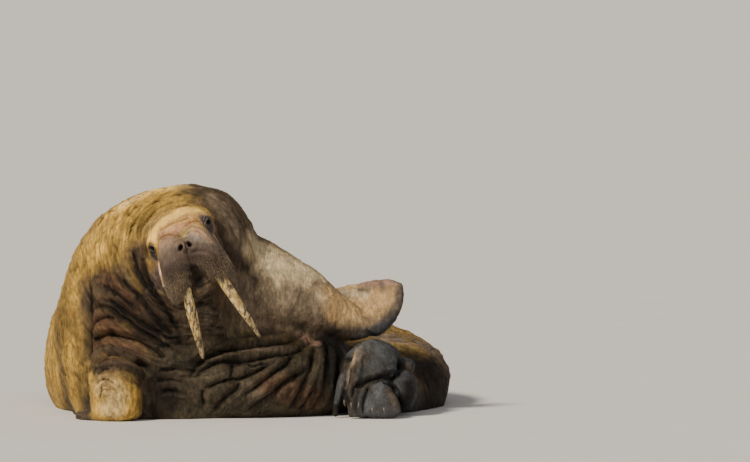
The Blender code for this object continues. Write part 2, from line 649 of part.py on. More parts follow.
def fold_depths(points, line, depth, width, roll):
    """How far this fold moves each point along its normal: the groove, and the rolls on both sides."""
    reach = FOLD_REACH * width
    near = np.flatnonzero(((points > line.min(0) - reach) & (points < line.max(0) + reach)).all(1))
    away = np.linalg.norm(points[near, None] - line[None], axis=2)
    place = away.argmin(1) / (len(line) - 1)
    away = away.min(1)
    fade = np.sqrt(np.clip(np.minimum(place, 1 - place) / FOLD_ENDS, 0, 1))
    groove = -depth * hump(away, 0, width) * fade
    rolls = roll * hump(away, ROLL_AWAY * width, ROLL_WIDTH * width) * fade
    return near, groove, rolls


def press_folds(obj, folds):
    """The creases are pressed into the skin, and the skin beside them swells."""
    mesh = obj.data
    tree = BVHTree.FromObject(obj, bpy.context.evaluated_depsgraph_get())
    points, normals = coordinates(mesh), normals_of(mesh)
    groove = np.zeros(len(points))
    rolls = np.zeros(len(points))
    for outline, depth, width, roll in folds.values():
        line = on_skin(tree, outline, 10)
        near, down, up = fold_depths(points, line, depth, width, roll)
        groove[near] = np.minimum(groove[near], down)
        rolls[near] = np.maximum(rolls[near], up)
    move = groove + rolls * np.exp(groove / ROLL_STOP)
    mesh.vertices.foreach_set("co", (points + normals * move[:, None]).ravel())
    mesh.update()


def hump(distance, at, width):
    """1 at this distance, and falling off smoothly on both sides of it."""
    return np.exp(-(((distance - at) / width) ** 2))


def lids(p, side):
    """A rim of lid round an almond opening, with a furrow outside it."""
    look = np.array(EYE_LOOK) * (side, 1, 1)
    offset = p - np.array(EYE_CENTRE) * (side, 1, 1)
    level = unit(np.cross(look, (0, 0, 1)))
    rise = np.cross(level, look)
    r = np.hypot(offset @ level / EYE_OPENING[0], offset @ rise / EYE_OPENING[1])
    upper = 1 + 0.5 * np.clip(offset @ rise / LID_REACH, -1, 1)
    opening = -0.015 * np.exp(-(r**4))
    rims = (0.0042 * hump(r, 1.5, 0.40) - 0.0030 * hump(r, 2.35, 0.36) + 0.0024 * upper * hump(r, 3.0, 0.36)
            - 0.0028 * upper * hump(r, 3.8, 0.45))
    return (offset @ look > 0) * (opening + rims)


def nostril(p, side):
    """A slanted hole with a soft rim."""
    x, z = p[:, 0] - NOSE_SHIFT - side * NOSTRIL[0], p[:, 2] - NOSTRIL[1]
    slant = -side * NOSTRIL_SLANT
    s, t = x * math.cos(slant) - z * math.sin(slant), x * math.sin(slant) + z * math.cos(slant)
    r = np.hypot(s / NOSTRIL_HALF[0], t / NOSTRIL_HALF[1])
    return -NOSTRIL_DEPTH * np.exp(-(r**4)) + 0.0012 * hump(r, 1.9, 0.6)


def mouth(p):
    """The furrow below the nose, the dark hollow between the whisker pads, and the lower lip under it."""
    x, z = p[:, 0], p[:, 2]
    furrow = np.clip((z + 0.150) / 0.02, 0, 1) * np.clip((-0.050 - z) / 0.015, 0, 1) * hump(x, 0, 0.007)
    hollow = np.exp(-(np.hypot(x / MOUTH_HALF[0], (z - MOUTH_HEIGHT) / MOUTH_HALF[1]) ** 4))
    lip = hump(z, LIP_HEIGHT + 3.0 * x**2, 0.006) * np.clip((LIP_HALF_WIDTH - np.abs(x)) / 0.015, 0, 1)
    return -0.008 * furrow - MOUTH_DEPTH * hollow + 0.006 * lip


def face_features(obj):
    """Lids, nostrils and mouth, pressed into the skin in the head's own axes."""
    mesh = obj.data
    into = np.array(head_matrix().inverted())
    points, normals = coordinates(mesh), normals_of(mesh)
    local = points @ into[:3, :3].T + into[:3, 3]
    facing = normals @ into[:3, :3].T
    near = np.flatnonzero((np.abs(local[:, 0]) < 0.2) & (np.abs(local[:, 2] + 0.06) < 0.24)
                          & (local[:, 1] < 0.12) & (local[:, 1] > -0.26))
    p = local[near]
    front = np.clip((-facing[near, 1] - 0.05) / 0.3, 0, 1) * (p[:, 1] < -0.05)
    move = front * (nostril(p, -1) + nostril(p, 1) + mouth(p)) + lids(p, -1) + lids(p, 1)
    points[near] += normals[near] * move[:, None]
    mesh.vertices.foreach_set("co", points.ravel())
    mesh.update()


def soften(obj, centre, radius, iterations):
    """The skin round this point is smoothed, where one mass runs out into another."""
    away = np.linalg.norm(coordinates(obj.data) - np.array(centre), axis=1)
    weight = np.clip(1.5 - 1.5 * away / radius, 0, 1)
    group = obj.vertex_groups.new(name="soft")
    for i in np.flatnonzero(weight):
        group.add([int(i)], float(weight[i]), "REPLACE")
    smooth = obj.modifiers.new("soft", "SMOOTH")
    smooth.factor = 0.5
    smooth.iterations = iterations
    smooth.vertex_group = "soft"
    bake_modifiers(obj)
    obj.vertex_groups.clear()


def clear_scene():
    for obj in list(bpy.data.objects):
        bpy.data.objects.remove(obj)


def whole_animal():
    masses = body_masses()
    blubber = fuse("blubber", masses["blubber"], BODY_VOXEL, 8)
    head = fuse("head_form", head_masses(), HEAD_VOXEL, 4)
    whole = fuse("whole", [blubber, head, *masses["limbs"]], SKIN_VOXEL, 4)
    soften(whole, WRIST, 0.20, 16)
    soften(whole, PALM_HEEL, 0.12, 24)
    press_folds(whole, FOLDS)
    face_features(whole)
    points = coordinates(whole.data)
    points[:, 2] = np.maximum(points[:, 2], 0)
    whole.data.vertices.foreach_set("co", points.ravel())
    whole.data.update()
    return whole


def thin_out(obj, near_head, elsewhere):
    """Fewer triangles: the body is thinned out first with the head spared, then the head on its own."""
    into = np.array(head_matrix().inverted())
    for spare_head in (True, False):
        points = coordinates(obj.data)
        away = np.linalg.norm(points @ into[:3, :3].T + into[:3, 3] - np.array(FACE_MIDDLE), axis=1)
        head = away < FACE_RADIUS
        group = obj.vertex_groups.new(name="thin")
        group.add(np.flatnonzero(head != spare_head).tolist(), 1.0, "REPLACE")
        obj.data.calc_loop_triangles()
        corners = np.empty(len(obj.data.loop_triangles) * 3, np.int32)
        obj.data.loop_triangles.foreach_get("vertices", corners)
        on_head = int(head[corners.reshape(-1, 3)].all(1).sum())
        target = elsewhere + (on_head if spare_head else near_head)
        decimate = obj.modifiers.new("thin", "DECIMATE")
        decimate.ratio = target / len(obj.data.loop_triangles)
        decimate.vertex_group = "thin"
        decimate.vertex_group_factor = 1.0
        decimate.use_collapse_triangulate = True
        bake_modifiers(obj)
        obj.vertex_groups.clear()
    return obj


def boolean(obj, other, operation):
    modifier = obj.modifiers.new("cut", "BOOLEAN")
    modifier.operation = operation
    modifier.solver = "MANIFOLD"
    modifier.object = other
    return bake_modifiers(obj)


def drop(obj):
    bpy.data.objects.remove(obj)


def keep_largest(obj):
    """Only the biggest closed surface of the piece stays."""
    body = bmesh.new()
    body.from_mesh(obj.data)
    left = set(body.verts)
    shells = []
    while left:
        stack = [left.pop()]
        shell = set(stack)
        while stack:
            for edge in stack.pop().link_edges:
                for vertex in edge.verts:
                    if vertex not in shell:
                        shell.add(vertex)
                        stack.append(vertex)
        left -= shell
        shells.append(shell)
    shells.sort(key=lambda shell: (len(shell), min(v.index for v in shell)))
    bmesh.ops.delete(body, geom=[v for shell in shells[:-1] for v in shell], context="VERTS")
    body.to_mesh(obj.data)
    body.free()


def copy_of(obj, name):
    twin = bpy.data.objects.new(name, obj.data.copy())
    bpy.context.scene.collection.objects.link(twin)
    return twin


def part_off(body, name, cutter):
    """What lies inside the cutter becomes a node of its own, a thin gap away from the rest."""
    inner, outer = cutter(0.0), cutter(GAP)
    piece = boolean(copy_of(body, name), inner, "INTERSECT")
    boolean(body, outer, "DIFFERENCE")
    drop(inner)
    drop(outer)
    keep_largest(piece)
    keep_largest(body)
    return piece


def block(corner, far_corner, matrix=None):
    """A cutter with flat faces: each side of the box moves out by the gap."""

    def cutter(extra):
        bpy.ops.mesh.primitive_cube_add(size=2)
        obj = bpy.context.object
        low, high = Vector(corner), Vector(far_corner)
        half = (high - low) / 2 + Vector((extra, extra, extra))
        place = Matrix.LocRotScale((low + high) / 2, None, half)
        obj.data.transform((matrix @ place) if matrix else place)
        return obj

    return cutter


def bowl(centre, radii, matrix=None):
    """A rounded cutter."""

    def cutter(extra):
        bpy.ops.mesh.primitive_uv_sphere_add(segments=20, ring_count=12, radius=1.0)
        obj = bpy.context.object
        place = Matrix.LocRotScale(Vector(centre), None, Vector(radii) + Vector((extra, extra, extra)))
        obj.data.transform((matrix @ place) if matrix else place)
        return obj

    return cutter


def facing(point, direction, up=(0, 0, 1)):
    """Axes at this point whose +Y runs along the direction."""
    ahead = Vector(direction).normalized()
    side = ahead.cross(Vector(up)).normalized()
    top = side.cross(ahead)
    turn = Matrix((side, ahead, top)).transposed().to_4x4()
    return Matrix.Translation(point) @ turn


def eyeball(name, side, extra=0.0, segments=14, rings=8):
    bpy.ops.mesh.primitive_uv_sphere_add(segments=segments, ring_count=rings, radius=EYE_RADIUS + extra)
    obj = bpy.context.object
    obj.name = name
    centre = EYE_CENTRE * 1.0
    centre.x *= side
    obj.data.transform(head_matrix() @ Matrix.Translation(centre))
    return obj


def tusk(name, stations, extra=0.0, count=11, steps=1):
    rows = [(x, y, z, a + extra, b + extra) for x, y, z, a, b in stations]
    obj = tube(name, rows, (1, 0, 0), steps=steps, power=2.0, round_ends=(0.6, 0.9), count=count)
    obj.data.transform(head_matrix())
    return obj


def spine(root, direction, length, radius, sides=5, bend=0.25):
    """A tapered bristle or claw: points and faces of a bent cone."""
    ahead = direction.normalized()
    side = ahead.orthogonal().normalized()
    other = ahead.cross(side)
    down = Vector((0, 0, -1))
    points = []
    for along, width in ((0.0, 1.0), (0.55, 0.62)):
        centre = root + ahead * length * along + down * length * bend * along**2
        for k in range(sides):
            turn = 2 * math.pi * k / sides
            points.append(centre + (side * math.cos(turn) + other * math.sin(turn)) * radius * width)
    points.append(root + ahead * length + down * length * bend)
    faces = [tuple(range(sides))[::-1]]
    for k in range(sides):
        n = (k + 1) % sides
        faces.append((k, n, sides + n, sides + k))
        faces.append((sides + k, sides + n, 2 * sides))
    return points, faces


def spines_object(name, spines):
    points, faces = [], []
    for p, f in spines:
        faces += [tuple(i + len(points) for i in face) for face in f]
        points += p
    return mesh_object(name, points, faces)


def runs_into(trees, root, ahead, length):
    """Whether a bristle rooted here would touch one of these surfaces."""
    tip = root + ahead * length + Vector((0, 0, -WHISKER_BEND * length))
    places = [root.lerp(tip, along) for along in (-0.25, 0.0, 0.3, 0.6, 1.0)]
    return any(
        tree.ray_cast(root, ahead, length)[0] is not None
        or any(tree.find_nearest(place, WHISKER_CLEARANCE)[0] is not None for place in places)
        for tree in trees
    )


def whiskers(skin, neighbours):
    """Stiff bristles over both pads, longest at the lower edge, kept clear of what lies beside them."""
    m = head_matrix()
    turn = m.to_3x3()
    graph = bpy.context.evaluated_depsgraph_get()
    tree = BVHTree.FromObject(skin, graph)
    trees = [BVHTree.FromObject(obj, graph) for obj in neighbours]
    found = []
    for side in (-1, 1):
        middle = PAD_MIDDLE * Vector((side, 1, 1))
        for row in range(WHISKER_ROWS):
            lift = math.radians(WHISKER_LIFT[0] - WHISKER_LIFT[1] * row)
            across = 8 - abs(row - 3)
            for step in range(across):
                turned = WHISKER_SWING[0] + WHISKER_SWING[1] * step / (across - 1) + WHISKER_STAGGER * (row % 2)
                swing = math.radians(turned)
                out = Vector((side * math.sin(swing) * math.cos(lift), -math.cos(swing) * math.cos(lift),
                              math.sin(lift)))
                hit = tree.ray_cast(m @ (middle + out * 0.3), turn @ -out)[0]
                if hit is None:
                    continue
                root = m.inverted() @ hit
                if abs(root.x) < NOSE_CLEAR or (root.z < MOUTH_TOP and abs(root.x) < MOUTH_CLEAR):
                    continue
                lean = turn @ (out * 0.9 + Vector((side * 0.15, -0.05, -0.55))).normalized()
                length = WHISKER_LENGTH[0] + WHISKER_LENGTH[1] * row
                if not runs_into(trees, hit, lean, length):
                    root = hit - lean * WHISKER_SUNK
                    found.append(spine(root, lean, length, WHISKER_RADIUS, 4, WHISKER_BEND))
    return spines_object("whiskers", found)


def claws(skin, rows):
    """Small nails, each at a point of the picture and with its own direction."""
    tree = BVHTree.FromObject(skin, bpy.context.evaluated_depsgraph_get())
    found = []
    for point, direction in rows:
        hit, normal, _, _ = tree.ray_cast(VIEWPOINT, sight_line(*point))
        if hit is None:
            continue
        lean = Vector(direction).normalized()
        root = hit - normal * CLAW_RADIUS * CLAW_SUNK[0] - lean * CLAW_LENGTH * CLAW_SUNK[1]
        found.append(spine(root, lean, CLAW_LENGTH, CLAW_RADIUS, bend=0))
    return spines_object("claws", found)


def right_arm_cutter(extra):
    """The fore limb comes out of the chest through a rounded mouth; the hand lies along the floor."""
    arm = bowl(*RIGHT_ARM_BOWL)(extra)
    hand = bowl(*RIGHT_HAND_BOWL)(extra)
    boolean(arm, hand, "UNION")
    drop(hand)
    return arm


def build():
    clear_scene()
    body = thin_out(whole_animal(), HEAD_TRIANGLES, BODY_TRIANGLES)
    body.name = "body"
    m = head_matrix()
    sockets = [
        eyeball("socket", 1, GAP),
        eyeball("socket", -1, GAP),
        tusk("socket", LEFT_TUSK, GAP),
        tusk("socket", RIGHT_TUSK, GAP),
    ]
    for socket in sockets:
        boolean(body, socket, "DIFFERENCE")
        drop(socket)
    keep_largest(body)
    eyeball("left_eye", 1)
    eyeball("right_eye", -1)
    tusk("left_tusk", LEFT_TUSK)
    tusk("right_tusk", RIGHT_TUSK)

    part_off(body, "tail", bowl(*TAIL_BOWL))
    left_hind = part_off(body, "left_hind_flipper", bowl(*HIND_FLIPPERS_BOWL))
    right_hind = part_off(left_hind, "right_hind_flipper", block(*RIGHT_FOOT_BLOCK, facing(*RIGHT_FOOT_AXES)))
    part_off(body, "left_fore_flipper", block(*LEFT_ARM_BLOCK, facing(*LEFT_ARM_AXES)))
    head = part_off(body, "head", bowl(*HEAD_BOWL, m))
    part_off(body, "right_fore_flipper", right_arm_cutter)
    part_off(body, "hindquarters", block(*HIPS_BLOCK, facing(*HIPS_AXES)))
    part_off(body, "abdomen", block(*ABDOMEN_BLOCK))
    neck = part_off(body, "neck", block(*NECK_BLOCK, facing(*NECK_AXES)))
    body.name = "chest"

    jaw = part_off(head, "lower_jaw", block(*JAW_BLOCK, m))
    muzzle = part_off(head, "muzzle", block(*MUZZLE_CUT, m))
    tusks = [bpy.data.objects[name] for name in ("left_tusk", "right_tusk")]
    bristles = whiskers(muzzle, [head, jaw, neck, body, *tusks])
    boolean(muzzle, bristles, "UNION")
    drop(bristles)
    for flesh, rows in ((left_hind, LEFT_FOOT_CLAWS), (right_hind, RIGHT_FOOT_CLAWS)):
        nails = claws(flesh, rows)
        boolean(flesh, nails, "UNION")
        drop(nails)
    finish_nodes()


def finish_for(name):
    for word, finish in (("eye", "eye"), ("tusk", "ivory"), ("flipper", "flipper"), ("muzzle", "face"),
                         ("head", "face"), ("jaw", "face")):
        if word in name:
            return finish
    return "hide"


def finish_nodes():
    """One closed surface each, its own material, and the origin under the middle of the animal."""
    walrus = bpy.data.collections.new("walrus")
    bpy.context.scene.collection.children.link(walrus)
    for obj in list(bpy.data.objects):
        keep_largest(obj)
        obj.data.transform(Matrix.Translation(-FOOTPRINT_MIDDLE))
        colour, roughness = FINISHES[finish_for(obj.name)]
        material = bpy.data.materials.new(obj.name)
        material.use_nodes = True
        shader = material.node_tree.nodes["Principled BSDF"]
        shader.inputs["Base Color"].default_value = (*colour, 1)
        shader.inputs["Roughness"].default_value = roughness
        shader.inputs["Metallic"].default_value = 0
        obj.data.materials.clear()
        obj.data.materials.append(material)
        obj.data.shade_smooth()
        for collection in list(obj.users_collection):
            collection.objects.unlink(obj)
        walrus.objects.link(obj)


build()
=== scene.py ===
"""A bull walrus at rest, dressed: one creased skin, eyes, tusks, nails, whiskers and a short coat.

Metres, +Z up. The animal faces -Y, its right side lies towards -X, and its hips curl round to +X.
The stations and folds are in the axes of their own first drawing, and every piece is moved at the end
so that the origin lies on the floor under the middle of the animal.
"""

import itertools
import math

import bmesh
import bpy
import numpy as np
from mathutils import Euler, Matrix, Vector
from mathutils.bvhtree import BVHTree


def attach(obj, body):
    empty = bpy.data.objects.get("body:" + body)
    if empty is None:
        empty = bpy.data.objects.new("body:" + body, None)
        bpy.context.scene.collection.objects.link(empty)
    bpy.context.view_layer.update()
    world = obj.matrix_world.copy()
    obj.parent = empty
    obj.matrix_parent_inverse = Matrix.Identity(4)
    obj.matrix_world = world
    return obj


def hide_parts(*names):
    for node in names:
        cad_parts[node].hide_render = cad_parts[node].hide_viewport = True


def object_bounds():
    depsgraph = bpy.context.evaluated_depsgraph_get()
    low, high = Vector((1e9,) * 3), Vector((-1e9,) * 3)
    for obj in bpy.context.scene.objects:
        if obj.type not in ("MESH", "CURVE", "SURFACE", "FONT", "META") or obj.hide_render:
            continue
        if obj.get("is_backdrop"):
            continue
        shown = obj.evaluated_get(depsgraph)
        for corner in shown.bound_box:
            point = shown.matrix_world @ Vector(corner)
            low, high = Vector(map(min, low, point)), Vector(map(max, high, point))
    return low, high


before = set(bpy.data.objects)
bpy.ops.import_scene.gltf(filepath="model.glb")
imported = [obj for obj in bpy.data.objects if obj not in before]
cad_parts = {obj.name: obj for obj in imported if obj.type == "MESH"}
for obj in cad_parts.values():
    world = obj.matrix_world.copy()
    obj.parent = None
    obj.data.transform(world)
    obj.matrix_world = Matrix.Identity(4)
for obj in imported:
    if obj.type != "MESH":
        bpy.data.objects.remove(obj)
cad_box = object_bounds()

BODY_VOXEL = 0.018  # grid of the first, broad fusion of the blubber masses
HEAD_VOXEL = 0.005
SKIN_VOXEL = 0.0052  # grid of the whole animal before it is thinned out
HEAD_TRIANGLES = 66000
BODY_TRIANGLES = 126000
RING_POINTS = 72
CURVE_STEPS = 5  # from each station of a limb to the next
DOME = np.radians([75, 55, 35, 18])  # how far round a limb's domed end each of its rings lies
TRUNK_POWER = 2.25  # squareness of its sections
TRUNK_SUNK = 0.16  # how far its lower half would reach below the floor
TRUNK_FRONT, TRUNK_BACK = 0.20, 0.06  # length of its two domed ends
FLIPPER_MARGIN = 0.16  # share of a flipper's width over which each side thins out
FLIPPER_EDGE = 0.25  # thickness left at the very edge

# Middle of the animal's footprint in the axes that the stations below use; the part is moved there last
FOOTPRINT_MIDDLE = Vector((0.061, 0.361, 0.0))

# The creases were read off a picture taken from here, tilted down a little, through a long lens
VIEWPOINT = Vector((0.634, -27.47, 2.05))
VIEW_TILT = math.radians(2.6)
PICTURE_SIZE = (750, 462)
LENS_LENGTH = 300.0
SENSOR_WIDTH = 36.0
PIXELS_PER_RADIAN = PICTURE_SIZE[0] * LENS_LENGTH / SENSOR_WIDTH

# Head: its own axes have the origin midway between the eyes, +X to its left, -Y out of the muzzle
HEAD_CENTRE = Vector((-0.207, -0.46, 0.806))
HEAD_ROLL = math.radians(-25.0)
HEAD_PITCH = math.radians(4.0)
EYE_CENTRE = Vector((0.121, -0.010, 0.002))  # of its left eye
EYE_LOOK = Vector((0.66, -0.75, 0.05)).normalized()
EYE_RADIUS = 0.0215
CORNEA_RISE, CORNEA_REACH = 0.055, 0.55  # as shares of the eye's radius
EYE_OPENING = (0.0150, 0.0104)  # half width and half height between the lids
NOSTRIL = (0.0205, -0.033)
NOSTRIL_HALF = (0.0092, 0.0138)
NOSTRIL_SLANT = math.radians(30.0)
NOSTRIL_DEPTH = 0.034
NOSE_SHIFT = 0.004  # the nose stands a little towards its left eye
MOUTH_HEIGHT = -0.172
MOUTH_HALF = (0.040, 0.034)
MOUTH_DEPTH = 0.026
LIP_HEIGHT = -0.220
LIP_RISE = 0.006
FACE_MIDDLE = Vector((0, -0.06, -0.07))
FACE_REACH = 0.27  # skin this near to the middle of the face is made finer
THIN_REACH = 0.225  # skin this near to it is thinned out on its own
HOOD_AXIS = -0.06  # height of the axis that the folds of the hood lie round
# Half of the muzzle seen from the front, from the middle of its top edge round to the mouth: x, z
MUZZLE_OUTLINE = [
    (0, 0.012), (0.030, 0.027), (0.068, 0.030), (0.100, 0.012), (0.122, -0.032), (0.137, -0.085),
    (0.147, -0.135), (0.149, -0.182), (0.142, -0.216), (0.122, -0.233), (0.098, -0.222), (0.074, -0.203),
    (0.050, -0.194), (0.025, -0.194), (0, -0.194),
]
MUZZLE_FRONT = 0.178  # how far the muzzle reaches ahead of the eyes
MUZZLE_SHOULDER = -0.060  # where its front starts to round off
MUZZLE_BACK = (0.030, 0.0, -0.035)  # sections behind that place, each a little drawn in
MUZZLE_MIDDLE = (0.0, -0.108)
MUZZLE_POWER = 2.9  # squareness of its profile
# Tusks in the head's own axes, from the hidden root down: x, y, z, half width, half depth
RIGHT_TUSK = [
    (-0.052, -0.106, -0.150, 0.0180, 0.0170),
    (-0.069, -0.114, -0.205, 0.0196, 0.0180),
    (-0.084, -0.117, -0.265, 0.0220, 0.0195),
    (-0.095, -0.116, -0.317, 0.0228, 0.0195),
    (-0.107, -0.111, -0.377, 0.0200, 0.0175),
    (-0.119, -0.103, -0.437, 0.0150, 0.0138),
    (-0.131, -0.093, -0.496, 0.0100, 0.0095),
    (-0.135, -0.088, -0.516, 0.0065, 0.0062),
]
LEFT_TUSK = [
    (0.068, -0.106, -0.150, 0.0190, 0.0175),
    (0.081, -0.114, -0.213, 0.0226, 0.0195),
    (0.091, -0.118, -0.271, 0.0234, 0.0200),
    (0.103, -0.115, -0.356, 0.0205, 0.0180),
    (0.115, -0.105, -0.444, 0.0156, 0.0142),
    (0.123, -0.094, -0.512, 0.0095, 0.0090),
    (0.126, -0.088, -0.536, 0.0065, 0.0062),
]
# Trunk, from the chest back and round to the tail base: x, y, height of widest place, half width, top
TRUNK = [
    (-0.30, -0.20, 0.20, 0.38, 0.52),
    (-0.29, 0.06, 0.18, 0.455, 0.70),
    (-0.300, 0.38, 0.17, 0.548, 0.715),
    (-0.21, 0.70, 0.17, 0.530, 0.665),
    (0.09, 0.92, 0.16, 0.465, 0.57),
    (0.39, 0.90, 0.14, 0.395, 0.44),
    (0.60, 0.69, 0.13, 0.355, 0.345),
    (0.675, 0.44, 0.11, 0.290, 0.295),
    (0.675, 0.22, 0.08, 0.205, 0.235),
    (0.675, 0.06, 0.06, 0.130, 0.175),
]
# Neck, from inside the chest up to the nape: x, y, z, half width, half depth
NECK = [
    (-0.290, 0.03, -0.04, 0.400, 0.40),
    (-0.300, 0.02, 0.10, 0.430, 0.42),
    (-0.315, 0.01, 0.25, 0.455, 0.435),
    (-0.320, -0.01, 0.42, 0.455, 0.430),
    (-0.305, -0.03, 0.56, 0.435, 0.410),
    (-0.283, -0.05, 0.69, 0.415, 0.385),
    (-0.262, -0.07, 0.80, 0.372, 0.350),
    (-0.245, -0.085, 0.885, 0.312, 0.290),
    (-0.215, -0.095, 0.955, 0.225, 0.210),
    (-0.195, -0.10, 0.992, 0.130, 0.120),
    (-0.188, -0.10, 1.006, 0.060, 0.055),
]
# Belly that bulges forward between the two fore limbs: x, y, z, half depth, half height
BELLY = [
    (-0.36, -0.06, 0.165, 0.32, 0.20),
    (-0.15, -0.08, 0.175, 0.33, 0.22),
    (0.08, -0.05, 0.170, 0.335, 0.225),
    (0.27, 0.02, 0.160, 0.30, 0.215),
    (0.40, 0.12, 0.150, 0.22, 0.19),
]
# Left fore limb, shoulder to wrist: x, y, z, half depth, half height
LEFT_ARM = [
    (-0.12, 0.03, 0.585, 0.30, 0.275),
    (0.05, 0.02, 0.56, 0.265, 0.24),
    (0.18, 0.00, 0.53, 0.225, 0.198),
    (0.30, -0.02, 0.50, 0.17, 0.156),
    (0.39, -0.03, 0.460, 0.125, 0.122),
    (0.47, -0.035, 0.422, 0.088, 0.102),
    (0.55, -0.035, 0.393, 0.056, 0.076),
    (0.62, -0.035, 0.375, 0.032, 0.050),
]
WRIST = (0.46, -0.05, 0.46)
PALM_HEEL = (0.61, -0.06, 0.365)
# Right fore limb, from inside the chest down to the wrist
RIGHT_ARM = [
    (-0.46, -0.14, 0.31, 0.150, 0.130),
    (-0.475, -0.29, 0.255, 0.130, 0.115),
    (-0.485, -0.385, 0.185, 0.120, 0.112),
    (-0.487, -0.425, 0.105, 0.116, 0.108),
    (-0.485, -0.435, 0.035, 0.112, 0.100),
]
# How far a fold reaches beside its line, in half widths, and the two bells that its groove is made of
FOLD_REACH = 4.4
FOLD_BELLS = [(0.60, 1.3), (0.60, 0.55)]
FOLD_FADE = 0.16  # share of its length over which it fades out at each end
ROLL_PLACE, ROLL_SPREAD = 2.3, 1.1
